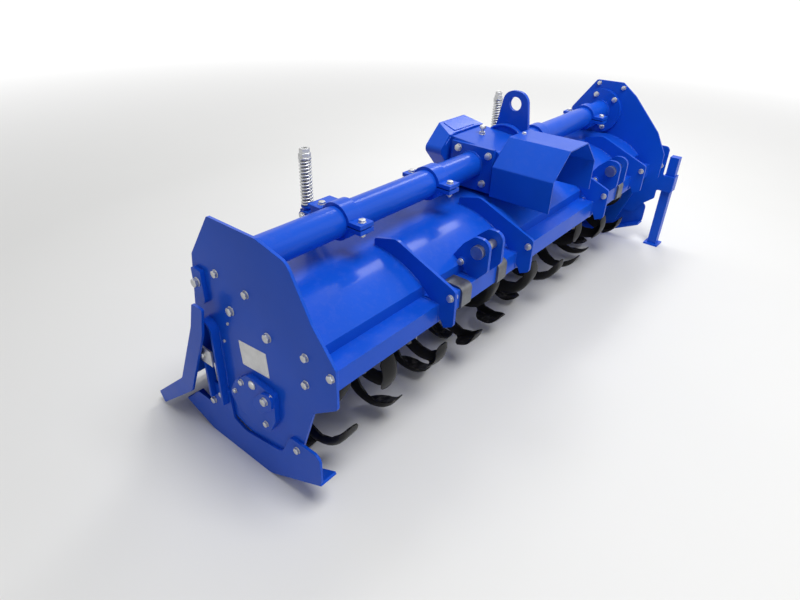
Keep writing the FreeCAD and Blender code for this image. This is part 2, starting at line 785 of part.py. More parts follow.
def skid(face_x, outward):
    # Upright web beside the end plate, with a toe that curves up, a sole turned inwards under it
    # and an ear behind the legs of the height strap.
    web_x = sorted((face_x, face_x + outward * skid_t))
    sole_x = sorted((face_x + outward * skid_t, face_x + outward * (skid_t - skid_flange_w)))
    sole_y0 = sole_y - sole_half
    sole_y1 = sole_y + sole_half
    toe_z = skid_pivot_z - 73.0
    edge_z = skid_pivot_z - 58.0
    web = plate_yz([
        (sole_y0, 0.0, 60.0),
        (sole_y1, 0.0, 60.0),
        (skid_rear_y, skid_rear_z, 6.0),
        (skid_rear_y - 75.0, edge_z, 20.0),
        (strap_y + strap_w / 2 + 22.0, edge_z, 12.0),
        (strap_y + strap_w / 2 + 14.0, skid_ear_z, 14.0),
        (strap_y - strap_w / 2 - 10.0, skid_ear_z, 14.0),
        (strap_y - strap_w / 2 - 16.0, edge_z, 12.0),
        (strap_y - 98.0, edge_z - 18.0, 60.0),
        (skid_pivot_y + 65.0, edge_z + 6.0, 40.0),
        (skid_pivot_y + skid_pivot_edge, skid_pivot_z + skid_pivot_edge, 24.0),
        (skid_front_y, skid_pivot_z + skid_pivot_edge, 24.0),
        (skid_front_y, toe_z, 30.0),
    ], web_x[0], web_x[1])
    sole_out = [
        (sole_y0, 0.0, 60.0),
        (sole_y1, 0.0, 60.0),
        (skid_rear_y, skid_rear_z, 0.0),
        (skid_rear_y - 3.0, skid_rear_z + 8.0, 0.0),
        (sole_y1 - 2.0, 8.0, 52.0),
        (sole_y0 + 2.0, 8.0, 52.0),
        (skid_front_y + 4.0, toe_z + 7.0, 0.0),
        (skid_front_y, toe_z, 0.0),
    ]
    sole = plate_yz(sole_out, sole_x[0], sole_x[1])
    return fuse([web, sole])


def height_strap(face_x, web_x, outward):
    # Inverted U of flat bar, open at its lower end, notched over the ear of the skid's web.
    x = sorted((face_x, web_x + outward * strap_depth))
    half = strap_w / 2
    outer = plate_yz([
        (strap_y - half, strap_low_z, 0.0),
        (strap_y + half, strap_low_z, 0.0),
        (strap_y + half, strap_top_z, half - 1),
        (strap_y - half, strap_top_z, half - 1),
    ], x[0], x[1])
    inner_half = half - strap_t
    inner = plate_yz([
        (strap_y - inner_half, strap_low_z - 1, 0.0),
        (strap_y + inner_half, strap_low_z - 1, 0.0),
        (strap_y + inner_half, strap_top_z - strap_t, inner_half - 1),
        (strap_y - inner_half, strap_top_z - strap_t, inner_half - 1),
    ], x[0] - 1, x[1] + 1)
    notch_x = sorted((web_x, web_x + outward * skid_t))
    notch = box(notch_x[0], notch_x[1], strap_y - strap_w, strap_y + strap_w, 0.0, skid_ear_z)
    return outer.cut(inner).cut(notch)


def strap_clip(web_x, outward):
    # Clamp washer across the strap.
    x = sorted((web_x + outward * strap_depth, web_x + outward * (strap_depth + clip_t)))
    y = strap_y + clip_back
    return box(x[0], x[1], y - clip_w / 2, y + clip_w / 2, clip_z - clip_h / 2, clip_z + clip_h / 2)


def bearing_hub():
    # Flat cast housing of the rotor's bearing on the outside of the right end plate, with a raised boss.
    face = right_plate_x - hub_t
    flange = plate_yz(around(rotor_y, rotor_z, hub_rows), face, right_plate_x)
    boss = plate_yz(around(rotor_y, rotor_z, boss_rows), face - boss_t, face + 1.0)
    inside = cyl_x(stub_d / 2 + 5.5, right_plate_x, right_plate_x + plate_t + 2, rotor_y, rotor_z)
    whole = fuse([flange, boss, inside])
    bore = cyl_x(stub_d / 2 + pin_clear, face + hub_floor, right_plate_x + plate_t + 3, rotor_y, rotor_z)
    return whole.cut(bore)


def gear_side_hub():
    ring = cyl_x(stub_d / 2 + 5.5, left_plate_x - 4.0, left_plate_x + plate_t, rotor_y, rotor_z)
    flange = cyl_x(side_hub_r, left_plate_x - side_hub_t, left_plate_x, rotor_y, rotor_z)
    whole = fuse([ring, flange])
    return whole.cut(cyl_x(stub_d / 2 + pin_clear, left_plate_x - side_hub_t - 1, left_plate_x + plate_t + 1,
                           rotor_y, rotor_z))


def rotor_shaft():
    x0 = right_plate_x + plate_t + rotor_end_gap
    x1 = left_plate_x - side_hub_t - rotor_end_gap
    parts = [cyl_x(rotor_tube_d / 2, x0, x1, rotor_y, rotor_z)]
    parts.append(cyl_x(stub_d / 2, right_plate_x - hub_t + hub_floor + 1.0, x0, rotor_y, rotor_z))
    parts.append(cyl_x(stub_d / 2, x1, left_plate_x + plate_t - 1.0, rotor_y, rotor_z))
    for i in range(flange_count):
        x = flange_first_x + i * flange_pitch
        flange = []
        for k in range(tines_per_flange):
            y, z = polar(flange_r, 360.0 * k / tines_per_flange + flange_turn * i)
            flange.append((rotor_y + y, rotor_z + z, 0.0))
        parts.append(plate_yz(flange, x - flange_t / 2, x + flange_t / 2))
    return fuse(parts)


# Tine: a scimitar shank in the flange's plane and a scoop blade turned sideways at its end.
# Stations along the shank, as radius, half width and sweep-back in degrees.
shank_stations = (
    (62.0, 27.0, 0.0),
    (110.0, 29.0, 0.0),
    (150.0, 27.0, 7.0),
    (186.0, 25.0, 17.0),
    (212.0, 22.0, 29.0),
)
blade_sweep_start = 22.0
blade_sweep_end = 46.0
blade_steps = 4
blade_t = 8.0
blade_dip = 26.0


def polar(r, degrees):
    a = math.radians(degrees)
    return r * math.cos(a), r * math.sin(a)


def tine_solid(side):
    # Built about the X axis with the shank pointing to +Y; it cuts with the swept-back edge last.
    front = []
    back = []
    for radius, half, sweep in shank_stations:
        spread = math.degrees(half / radius)
        front.append(polar(radius, -sweep + spread))
        back.append(polar(radius, -sweep - spread))
    outline = [(y, z, 0.0) for y, z in front + back[::-1]]
    x0 = side * flange_t / 2
    x1 = x0 + side * tine_t
    shank = plate_yz(outline, min(x0, x1), max(x0, x1))
    outer = []
    inner = []
    for i in range(blade_steps + 1):
        share = i / blade_steps
        angle = -(blade_sweep_start + share * (blade_sweep_end - blade_sweep_start))
        radius = tip_r - blade_dip * (1.0 - share) ** 2
        outer.append(polar(radius, angle + 12.0 * (1.0 - share)))
        inner.append(polar(radius - blade_t, angle + 12.0 * (1.0 - share)))
    section = [(y, z, 0.0) for y, z in outer + inner[::-1]]
    x2 = x0 + side * tine_reach_x
    blade = plate_yz(section, min(x0, x2), max(x0, x2))
    return shank.fuse(blade).removeSplitter()


def tine_set(side):
    # Right-hand tines (side +1) and left-hand tines (side -1) alternate round each flange,
    # and each flange is turned on from the last so that the tines strike one after another.
    # The two end flanges carry only tines that point inwards.
    solids = []
    master = tine_solid(side)
    for i in range(flange_count):
        x = flange_first_x + i * flange_pitch
        for k in range(tines_per_flange):
            inward = 1 if i == 0 else -1 if i == flange_count - 1 else (1 if k % 2 == 0 else -1)
            if inward != side:
                continue
            copy = master.copy()
            turn = 360.0 * k / tines_per_flange + flange_turn * i
            copy.rotate(V(0, 0, 0), V(1, 0, 0), turn)
            copy.translate(V(x, rotor_y, rotor_z))
            solids.append(copy)
    return Part.makeCompound(solids)


def parking_sleeve():
    half = leg_side / 2 + sleeve_clear
    out = half + sleeve_wall
    z1 = sleeve_low_z + sleeve_h
    tube = box(leg_x - out, leg_x + out, leg_y - out, leg_y + out, sleeve_low_z, z1)
    front_y = leg_y + out + 2.0
    arm = plate_yz([
        (leg_y - out, sleeve_low_z, 0.0),
        (front_y + 12.0, sleeve_low_z, 10.0),
        (front_y + 12.0, sleeve_low_z - 46.0, 10.0),
        (skid_pivot_y - 74.0, sleeve_low_z - 80.0, 15.0),
        (skid_pivot_y - skid_pivot_edge, skid_pivot_z - skid_pivot_edge, 20.0),
        (rotor_y - 60.0, skid_pivot_z - skid_pivot_edge, 20.0),
        (rotor_y - 60.0, nose_top_z - 110.0, 30.0),
        (front_y + 150.0, nose_top_z, 20.0),
        (front_y, nose_top_z, 20.0),
        (front_y, z1, 8.0),
        (leg_y - out, z1, 6.0),
    ], case_outer_x, arm_outer_x)
    keep = tube.fuse(arm)
    return keep.cut(box(leg_x - half, leg_x + half, leg_y - half, leg_y + half,
                        sleeve_low_z - 1, z1 + 1)).removeSplitter()


def parking_leg():
    half = leg_side / 2
    inner = half - leg_wall
    tube = box(leg_x - half, leg_x + half, leg_y - half, leg_y + half, foot_t, leg_top_z)
    tube = tube.cut(box(leg_x - inner, leg_x + inner, leg_y - inner, leg_y + inner,
                        foot_t, leg_top_z - leg_wall))
    side = foot_side / 2
    foot = box(leg_x - side, leg_x + side, leg_y - side, leg_y + side, 0.0, foot_t)
    return fuse([tube, foot])


os.makedirs("parts", exist_ok=True)

nodes = {
    "right_end_plate": right_end_plate(),
    "left_side_plate": left_side_plate(),
    "gear_case": gear_case(),
    "gear_case_cover": gear_case_cover(),
    "front_beam": front_beam(),
    "hood": hood(),
    "cross_tube_right": cross_tube_right(),
    "cross_tube_left": cross_tube_left(),
    "gearbox_housing": gearbox_housing(),
    "gearbox_rear_cover": gearbox_rear_cover(),
    "input_bearing_cap": input_cap(),
    "input_shaft": input_shaft(),
    "shaft_shield": shaft_shield(),
    "top_link_lug": top_link_lug(),
    "board_sheet": board_sheet(),
    "board_cheeks": Part.makeCompound([
        board_cheek(board_right_x, board_right_x + board_cheek_t),
        board_cheek(board_left_x - board_cheek_t, board_left_x),
    ]),
    "board_eye_lugs": Part.makeCompound([board_eye_lug(x) for x in rod_xs]),
    "hinge_rod": hinge_rod(),
    "hinge_stub": hinge_stub(),
    "bearing_hub": bearing_hub(),
    "gear_side_hub": gear_side_hub(),
    "rotor_shaft": rotor_shaft(),
    "tines_right_hand": tine_set(1),
    "tines_left_hand": tine_set(-1),
    "parking_sleeve": parking_sleeve(),
    "parking_leg": parking_leg(),
    "hitch_bracket_right": hitch_bracket(hitch_xs[0]),
    "hitch_bracket_left": hitch_bracket(hitch_xs[1]),
    "hitch_pins": Part.makeCompound([hitch_pin(x) for x in hitch_xs]),
    "hitch_saddles": Part.makeCompound([hitch_saddle(x + side * saddle_offset)
                                        for x in hitch_xs for side in (-1, 1)]),
    "beam_gussets": Part.makeCompound([gusset(x) for x in gusset_xs]),
    "tube_clamps": Part.makeCompound([half for x in clamp_xs for half in tube_clamp(x)]),
    "spring_brackets": Part.makeCompound([spring_bracket(rod_x, clamp_x)
                                          for rod_x, clamp_x in zip(rod_xs, rod_clamps)]),
}

# Columns: side name, face with the hinge lug, face behind the strap, face that carries the skid,
# outward sign.
ends = (
    ("right", right_plate_x, right_plate_x, right_plate_x, -1),
    ("left", left_plate_x + plate_t, case_outer_x, arm_outer_x, 1),
)
straps = []
clips = []
lugs = []
for name, lug_x, face_x, web_x, outward in ends:
    nodes["skid_" + name] = skid(web_x, outward)
    straps.append(height_strap(face_x, web_x, outward))
    clips.append(strap_clip(web_x, outward))
    lugs.append(hinge_lug(lug_x, outward))
nodes["height_straps"] = Part.makeCompound(straps)
nodes["strap_clips"] = Part.makeCompound(clips)
nodes["hinge_lugs"] = Part.makeCompound(lugs)

for name, rod_x in zip(("right", "left"), rod_xs):
    nodes["trunnion_" + name] = trunnion(rod_x)
    nodes["spring_rod_" + name] = spring_rod(rod_x)
    nodes["spring_" + name] = spring_sleeve(rod_x)

for node, shape in nodes.items():
    save(shape, node)

whole = Part.makeCompound(list(nodes.values()))
box_all = whole.BoundBox
print("nodes", len(nodes))
print("x %.1f %.1f  y %.1f %.1f  z %.1f %.1f" % (box_all.XMin, box_all.XMax, box_all.YMin,
                                                 box_all.YMax, box_all.ZMin, box_all.ZMax))
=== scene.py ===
import math

import bpy
import numpy as np
from mathutils import Matrix, Vector


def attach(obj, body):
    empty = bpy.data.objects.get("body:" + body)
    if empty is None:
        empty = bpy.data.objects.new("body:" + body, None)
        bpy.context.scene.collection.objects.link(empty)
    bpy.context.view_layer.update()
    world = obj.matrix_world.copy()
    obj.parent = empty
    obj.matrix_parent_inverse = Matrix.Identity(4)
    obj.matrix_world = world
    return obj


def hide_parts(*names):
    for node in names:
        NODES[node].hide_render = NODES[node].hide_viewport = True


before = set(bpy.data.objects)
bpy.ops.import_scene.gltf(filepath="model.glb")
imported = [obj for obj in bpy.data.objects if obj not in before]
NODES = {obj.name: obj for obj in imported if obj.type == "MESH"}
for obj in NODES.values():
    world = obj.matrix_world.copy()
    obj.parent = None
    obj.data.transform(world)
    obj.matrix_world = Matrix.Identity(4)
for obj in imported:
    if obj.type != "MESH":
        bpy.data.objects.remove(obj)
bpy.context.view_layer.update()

bl_info = {
    "name": "Rotavator finish",
    "version": (1, 0, 0),
    "blender": (4, 5, 0),
    "location": "3D View > Sidebar > Rotavator",
    "description": "Paint, bolts, springs, welds and small fittings of a three-point rotavator",
    "category": "Object",
}

SIDES = 20


class Shape:
    """Points of one piece and its faces, kept as arrays with one row per face."""

    def __init__(self, points, faces):
        self.points = np.asarray(points, float).reshape(-1, 3)
        self.faces = [np.asarray(rows, int) for rows in faces]

    def placed(self, matrices):
        """One copy of the shape for each 4 by 4 matrix: every point is turned and moved by it."""
        matrices = np.asarray(matrices, float).reshape(-1, 4, 4)
        count = len(self.points)
        moved = np.einsum("kij,nj->kni", matrices[:, :3, :3], self.points) + matrices[:, None, :3, 3]
        steps = np.arange(len(matrices))[:, None, None] * count
        faces = [(rows[None] + steps).reshape(-1, rows.shape[1]) for rows in self.faces]
        return Shape(moved.reshape(-1, 3), faces)


def joined(shapes):
    """Several shapes as one: points follow each other, and face numbers move on by the points before."""
    starts = np.cumsum([0] + [len(shape.points) for shape in shapes[:-1]])
    faces = [rows + start for shape, start in zip(shapes, starts) for rows in shape.faces]
    return Shape(np.concatenate([shape.points for shape in shapes]), faces)


def grid(points, wrap_rows=False, wrap_columns=False, cap_ends=False):
    """Quads between neighbours of a grid of points (row, column, xyz); caps close the first and last row."""
    rows, columns = points.shape[:2]
    r, c = np.meshgrid(np.arange(rows if wrap_rows else rows - 1),
                       np.arange(columns if wrap_columns else columns - 1), indexing="ij")
    r1 = (r + 1) % rows
    c1 = (c + 1) % columns
    quads = np.stack([r * columns + c, r * columns + c1, r1 * columns + c1, r1 * columns + c], -1)
    faces = [quads.reshape(-1, 4)]
    if cap_ends:
        faces.append(np.arange(columns)[None, ::-1])
        faces.append((rows - 1) * columns + np.arange(columns)[None])
    return Shape(points.reshape(-1, 3), faces)


def revolve(profile, sides=SIDES):
    """Turned piece about Z: a point (r, z) of the profile goes to (r cos a, r sin a, z) for each angle a."""
    profile = np.asarray(profile, float)
    angle = np.linspace(0.0, 2 * math.pi, sides, endpoint=False)
    r, a = np.meshgrid(profile[:, 0], angle, indexing="ij")
    z = np.repeat(profile[:, 1:2], sides, axis=1)
    return grid(np.stack([r * np.cos(a), r * np.sin(a), z], -1), wrap_columns=True, cap_ends=True)


def sweep(path, radii, sides=10, up=(0.0, 0.0, 1.0), squash=1.0, closed=False):
    """Round bar along a path: at each point a circle of that radius stands square to the path's tangent."""
    path = np.asarray(path, float)
    radii = np.broadcast_to(np.asarray(radii, float), len(path))
    if closed:
        tangent = np.roll(path, -1, axis=0) - np.roll(path, 1, axis=0)
    else:
        tangent = np.gradient(path, axis=0)
    tangent /= np.linalg.norm(tangent, axis=1, keepdims=True)
    side = np.cross(np.broadcast_to(np.asarray(up, float), path.shape), tangent)
    side /= np.linalg.norm(side, axis=1, keepdims=True)
    over = np.cross(tangent, side)
    angle = np.linspace(0.0, 2 * math.pi, sides, endpoint=False)
    ring = (np.cos(angle)[None, :, None] * side[:, None] * radii[:, None, None]
            + np.sin(angle)[None, :, None] * over[:, None] * radii[:, None, None] * squash)
    return grid(path[:, None] + ring, wrap_rows=closed, wrap_columns=True, cap_ends=not closed)


def toward(origins, axis, spin=0.0):
    """Matrices that stand a piece's Z axis along the given axis at each origin, turned by spin about it."""
    z = np.asarray(axis, float) / np.linalg.norm(axis)
    guide = np.array([0.0, 0.0, 1.0]) if abs(z[2]) < 0.9 else np.array([0.0, 1.0, 0.0])
    x = np.cross(guide, z)
    x /= np.linalg.norm(x)
    y = np.cross(z, x)
    turn = np.array([[math.cos(spin), -math.sin(spin), 0], [math.sin(spin), math.cos(spin), 0], [0, 0, 1]])
    origins = np.asarray(origins, float).reshape(-1, 3)
    matrices = np.tile(np.eye(4), (len(origins), 1, 1))
    matrices[:, :3, :3] = np.stack([x, y, z], 1) @ turn
    matrices[:, :3, 3] = origins
    return matrices


def make_piece(name, shape, material, body, smooth_deg=40.0):
    """A mesh object from a shape, with its finish, riding on its body."""
    mesh = bpy.data.meshes.new(name)
    faces = [row for rows in shape.faces for row in rows.tolist()]
    mesh.from_pydata(shape.points.tolist(), [], faces)
    mesh.validate()
    mesh.update()
    mesh.materials.append(material)
    piece = bpy.data.objects.new(name, mesh)
    bpy.context.scene.collection.objects.link(piece)
    mesh.shade_smooth()
    mesh.set_sharp_from_angle(angle=math.radians(smooth_deg))
    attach(piece, body)
    return piece


class Wire:
    """A socket that can be reckoned with: each operator adds one Math node to its material."""

    def __init__(self, finish, socket):
        self.finish = finish
        self.socket = socket

    def __add__(self, other):
        return self.finish.maths("ADD", self, other)

    def __sub__(self, other):
        return self.finish.maths("SUBTRACT", self, other)

    def __rsub__(self, other):
        return self.finish.maths("SUBTRACT", other, self)

    def __mul__(self, other):
        return self.finish.maths("MULTIPLY", self, other)

    def __gt__(self, other):
        return self.finish.maths("GREATER_THAN", self, other)

    __radd__ = __add__
    __rmul__ = __mul__


class Finish:
    """One procedural material and the way its nodes are made."""

    def __init__(self, name):
        self.material = bpy.data.materials.new(name)
        self.material.use_nodes = True
        self.tree = self.material.node_tree
        self.tree.nodes.clear()

    def node(self, kind, settings=None, inputs=None, output=0):
        """A node of that kind: its settings first, then values or links on its sockets."""
        node = self.tree.nodes.new(kind)
        for key, value in (settings or {}).items():
            if key == "stops":
                for stop, (place, colour) in zip(node.color_ramp.elements, value):
                    stop.position = place
                    stop.color = colour
            else:
                setattr(node, key, value)
        for key, value in (inputs or {}).items():
            if isinstance(value, Wire):
                self.tree.links.new(value.socket, node.inputs[key])
            else:
                node.inputs[key].default_value = value
        return Wire(self, node.outputs[output]) if node.outputs else node

    def maths(self, operation, *values):
        return self.node("ShaderNodeMath", {"operation": operation}, dict(enumerate(values)))

    def clamp(self, value):
        return self.node("ShaderNodeClamp", None, {"Value": value})

    def steps(self, value, low, high):
        """0 below low, 1 above high and a straight ramp between them."""
        return self.node("ShaderNodeMapRange", None,
                         {"Value": value, "From Min": low, "From Max": high})

    def place(self):
        return self.node("ShaderNodeTexCoord", None, None, "Object")

    def noise(self, scale, detail=2.0, roughness=0.5, at=None):
        return self.node("ShaderNodeTexNoise", None, {
            "Vector": at or self.place(), "Scale": scale, "Detail": detail, "Roughness": roughness})

    def blend(self, factor, first, second):
        return self.node("ShaderNodeMix", {"data_type": "RGBA"},
                         {"Factor": factor, 6: first, 7: second}, 2)

    def round_edges(self, radius):
        """The normal that small rounded edges of that radius would have."""
        return self.node("ShaderNodeBevel", {"samples": 4}, {"Radius": radius})

    def edge_mask(self, rounded):
        """1 where the rounded normal leans away from the true one, 0 on flat faces."""
        true = self.node("ShaderNodeNewGeometry", None, None, "Normal")
        along = self.node("ShaderNodeVectorMath", {"operation": "DOT_PRODUCT"}, {0: rounded, 1: true}, "Value")
        return self.steps(1.0 - along, 0.02, 0.16)

    def facing_up(self):
        """1 on faces that look up, 0 on walls and undersides."""
        normal = self.node("ShaderNodeNewGeometry", None, None, "Normal")
        height = self.node("ShaderNodeSeparateXYZ", None, {0: normal}, 2)
        return self.steps(height, 0.55, 0.95)

    def bump(self, height, strength, distance, normal=None):
        inputs = {"Height": height, "Strength": strength, "Distance": distance}
        if normal is not None:
            inputs["Normal"] = normal
        return self.node("ShaderNodeBump", None, inputs)

    def surface(self, **inputs):
        """The one shader of the material; names with _ for spaces are its sockets."""
        sockets = {key.replace("_", " "): value for key, value in inputs.items()}
        shader = self.node("ShaderNodeBsdfPrincipled", None, sockets)
        self.node("ShaderNodeOutputMaterial", None, {"Surface": shader})
        return self.material


def painted(name, colour, tone, gloss, coat, dust):
    """Sprayed enamel: slow drifts of tone, orange peel, edges painted lighter as a painted highlight, and dust on
    top.
    """
    finish = Finish(name)
    rounded = finish.round_edges(0.0022)
    edge = finish.edge_mask(rounded)
    drift = finish.noise(3.1, 3.0)
    base = finish.blend(finish.steps(drift, 0.35, 0.7) * tone, colour, [c * 0.62 for c in colour[:3]] + [1.0])
    # Every edge is painted lighter than the flat faces: a painted highlight along the edges.
    painted_edge_highlight = [min(1.0, c * 1.3 + 0.006) for c in colour[:3]] + [1.0]
    base = finish.blend(edge * 0.45, base, painted_edge_highlight)
    film = finish.steps(finish.noise(46.0, 6.0, 0.7), 0.48, 0.8) * finish.facing_up() * dust
    base = finish.blend(film, base, (0.42, 0.40, 0.37, 1.0))
    peel = finish.noise(260.0, 1.0)
    sags = finish.noise(17.0, 2.0)
    normal = finish.bump(peel + sags * 2.5, 0.16, 0.0006, rounded)
    rough = finish.steps(finish.noise(9.0, 3.0), 0.3, 0.75) * 0.12 + gloss + film * 0.5
    return finish.surface(Base_Color=base, Roughness=rough, Coat_Weight=(1.0 - film) * coat,
                          Coat_Roughness=0.14, Coat_IOR=1.45, Specular_IOR_Level=0.07, Normal=normal)


def metal(name, colour, shade, rough, mottle, scratch, rust):
    """Bare or plated steel: a mottled crystal tone, fine drawn scratches and a few brown spots."""
    finish = Finish(name)
    rounded = finish.round_edges(0.0012)
    cells = finish.noise(mottle, 5.0, 0.62)
    tone = finish.blend(finish.steps(cells, 0.32, 0.72), colour, shade)
    spots = finish.steps(finish.noise(71.0, 7.0, 0.72), 0.60, 0.70) * rust
    tone = finish.blend(spots, tone, (0.16, 0.07, 0.03, 1.0))
    stretched = finish.node("ShaderNodeMapping", None,
                            {"Vector": finish.place(), "Scale": (35.0, 900.0, 900.0)})
    lines = finish.noise(1.0, 2.0, 0.6, stretched)
    normal = finish.bump(lines * scratch + cells, 0.12, 0.0004, rounded)
    return finish.surface(Base_Color=tone, Metallic=1.0 - spots,
                          Roughness=finish.steps(lines, 0.2, 0.8) * 0.16 + rough + spots * 0.4,
                          Normal=normal)


class RotavatorPaint(bpy.types.PropertyGroup):
    """Colours and gloss of the machine's finishes."""

    enamel: bpy.props.FloatVectorProperty(
        name="Enamel", description="Blue enamel of the frame, hood, gearbox and board",
        default=(0.005, 0.082, 0.60, 1.0), size=4, subtype="COLOR", min=0.0, max=1.0)
    enamel_gloss: bpy.props.FloatProperty(
        name="Enamel roughness", description="Roughness of the enamel under its gloss coat",
        default=0.30, min=0.0, max=1.0, subtype="FACTOR")
    tine: bpy.props.FloatVectorProperty(
        name="Tine black", description="Dip paint of the tines",
        default=(0.012, 0.012, 0.013, 1.0), size=4, subtype="COLOR", min=0.0, max=1.0)
    zinc: bpy.props.FloatVectorProperty(
        name="Zinc", description="Plating of bolts, springs and clips",
        default=(0.62, 0.63, 0.64, 1.0), size=4, subtype="COLOR", min=0.0, max=1.0)
    steel: bpy.props.FloatVectorProperty(
        name="Bare steel", description="Turned shafts and pins",
        default=(0.50, 0.49, 0.47, 1.0), size=4, subtype="COLOR", min=0.0, max=1.0)


class RotavatorStage(bpy.types.PropertyGroup):
    """Camera, lights and floor."""

    lens: bpy.props.FloatProperty(
        name="Lens", description="Focal length on a 36 mm wide sensor, in millimetres",
        default=26.17, min=10.0, max=200.0)
    eye: bpy.props.FloatVectorProperty(
        name="Camera place", description="Where the camera stands", default=(-1.8115, -1.0768, 1.2966),
        size=3, subtype="TRANSLATION", unit="LENGTH")
    turn: bpy.props.FloatVectorProperty(
        name="Camera turn", description="Rotation vector from the machine's frame to right, down, forward",
        default=(1.97482728, -0.90846519, 0.54291194), size=3)
    floor: bpy.props.FloatVectorProperty(
        name="Floor", description="Colour of the plain floor", default=(0.78, 0.78, 0.77, 1.0),
        size=4, subtype="COLOR", min=0.0, max=1.0)
    key_power: bpy.props.FloatProperty(
        name="Key light", description="Power of the large soft key light, in watts",
        default=172.0, min=0.0, unit="POWER")
    fill_power: bpy.props.FloatProperty(
        name="Fill light", description="Power of the soft fill light, in watts",
        default=26.0, min=0.0, unit="POWER")
    strip_power: bpy.props.FloatProperty(
        name="Strip light", description="Power of the long lamp that streaks the tubes, in watts",
        default=52.0, min=0.0, unit="POWER")


MATERIALS = {}


class ROTAVATOR_OT_paint(bpy.types.Operator):
    """Gives every CAD piece the finish of its slot"""

    bl_idname = "rotavator.paint"
    bl_label = "Paint the machine"

    def execute(self, context):
        paint = context.scene.rotavator_paint
        MATERIALS["blue_enamel"] = painted("blue_enamel_finish", tuple(paint.enamel), 0.35,
                                           paint.enamel_gloss, 0.24, 0.05)
        MATERIALS["tine_black"] = painted("tine_black_finish", tuple(paint.tine), 0.5, 0.36, 0.12, 0.30)
        MATERIALS["zinc"] = metal("zinc_finish", tuple(paint.zinc), (0.46, 0.46, 0.45, 1.0), 0.33, 90.0, 0.5, 0.1)
        MATERIALS["bright_steel"] = metal("bright_steel_finish", tuple(paint.steel), (0.34, 0.33, 0.31, 1.0),
                                          0.26, 30.0, 1.0, 0.35)
        MATERIALS["aluminium"] = metal("aluminium_finish", (0.66, 0.66, 0.65, 1.0), (0.56, 0.56, 0.55, 1.0),
                                       0.34, 40.0, 1.4, 0.0)
        MATERIALS["strap_steel"] = metal("strap_steel_finish", (0.20, 0.21, 0.23, 1.0), (0.13, 0.13, 0.14, 1.0),
                                         0.38, 30.0, 1.0, 0.2)
        for name, node in NODES.items():
            for place in node.material_slots:
                key = next((k for k in MATERIALS if place.material and place.material.name.startswith(k)), None)
                if key is None:
                    raise RuntimeError(f"{name} has a slot with no known finish: {place.material}")
                place.material = MATERIALS["strap_steel" if name == "hitch_saddles" else key]
        return {"FINISHED"}


MM = 0.001
FRAME, ROTOR, INPUT, BOARD, LEG = "frame", "rotor", "input", "board", "parking_leg"
ENAMEL, BLACK, ZINC, STEEL = "blue_enamel", "tine_black", "zinc", "bright_steel"

# Where the machine's parts meet, in millimetres in its own frame.
PLATE_X = -1130.0
HUB_X = -1146.0
BOSS_X = -1154.0
SKID_X = -1138.0
CLIP_X = -1161.0
LEFT_PLATE_X = 973.0
CASE_X = 1106.0
ARM_X = 1114.0
LEFT_SKID_X = 1122.0
LEFT_CLIP_X = 1145.0
BEAM_Y, BEAM_Z, BEAM_HALF = -279.0, 415.0, 30.0
TUBE_Y, TUBE_Z, TUBE_R = -27.0, 643.0, 44.5
ROTOR_Y, ROTOR_Z, HOOD_R = -60.0, 245.0, 300.0
GUSSET_XS = (-676.0, -250.0, 343.0, 740.0)
HITCH_XS = (-450.0, 512.0)
CLAMP_XS = (-768.0, -366.0, 326.0, 791.0)
ROD_XS = (("right", -730.0), ("left", 315.0))
TRUNNION_Y, TRUNNION_Z = 153.0, 592.0
EYE_Z = 442.0
SPRING_LOW_Z, SPRING_HIGH_Z = 622.0, 762.0

# Outside bolts as rows of (x, y, z, axis, thread). The head's seat is at the point, and the
# axis points out of the steel.
BOLTS = (
    (PLATE_X, 50.0, 591.0, "-X", 12.0), (PLATE_X, -66.0, 578.0, "-X", 12.0),
    (PLATE_X, 6.0, 501.0, "-X", 14.0), (PLATE_X, -133.0, 486.0, "-X", 14.0),
    (PLATE_X, -264.0, 493.0, "-X", 12.0), (PLATE_X, -260.0, 413.0, "-X", 12.0),
    (PLATE_X, -346.0, 478.0, "-X", 12.0), (PLATE_X, 28.0, 453.0, "-X", 5.0),
    (PLATE_X, 56.0, 386.0, "-X", 5.0),
    (HUB_X, -20.0, 298.0, "-X", 10.0), (HUB_X, 15.0, 250.0, "-X", 8.0),
    (HUB_X, -108.0, 205.0, "-X", 10.0), (HUB_X, -138.0, 314.0, "-X", 8.0),
    (BOSS_X, -124.0, 297.0, "-X", 13.0),
    (SKID_X, 102.0, 181.0, "-X", 10.0), (SKID_X, 146.0, 136.0, "-X", 12.0),
    (SKID_X, -217.0, 176.0, "-X", 11.0), (CLIP_X, 122.0, 322.0, "-X", 9.0),
    (LEFT_SKID_X, 102.0, 181.0, "+X", 10.0), (LEFT_SKID_X, 146.0, 136.0, "+X", 12.0),
    (LEFT_SKID_X, -217.0, 176.0, "+X", 11.0), (LEFT_CLIP_X, 122.0, 322.0, "+X", 9.0),
    (CASE_X, -325.0, 409.0, "-X", 12.0), (1168.6, -373.0, 327.0, "+X", 9.0),
    (-134.0, 28.0, 692.0, "-X", 14.0), (-134.0, -94.0, 687.0, "-X", 14.0),
    (-134.0, 28.0, 587.0, "-X", 14.0), (-134.0, -80.0, 587.0, "-X", 14.0),
    (3.0, -144.0, 746.0, "+Z", 8.0), (338.0, -243.0, 507.0, "-X", 10.0),
    (LEFT_PLATE_X - 8.0, 2.0, 761.0, "-X", 11.0), (LEFT_PLATE_X - 8.0, -114.0, 755.0, "-X", 11.0),
    (LEFT_PLATE_X - 22.0, 1.0, 713.0, "-X", 13.0), (LEFT_PLATE_X - 22.0, -88.0, 701.0, "-X", 13.0),
    (LEFT_PLATE_X - 22.0, -55.0, 573.0, "-X", 13.0), (LEFT_PLATE_X - 22.0, 34.0, 585.0, "-X", 13.0),
)
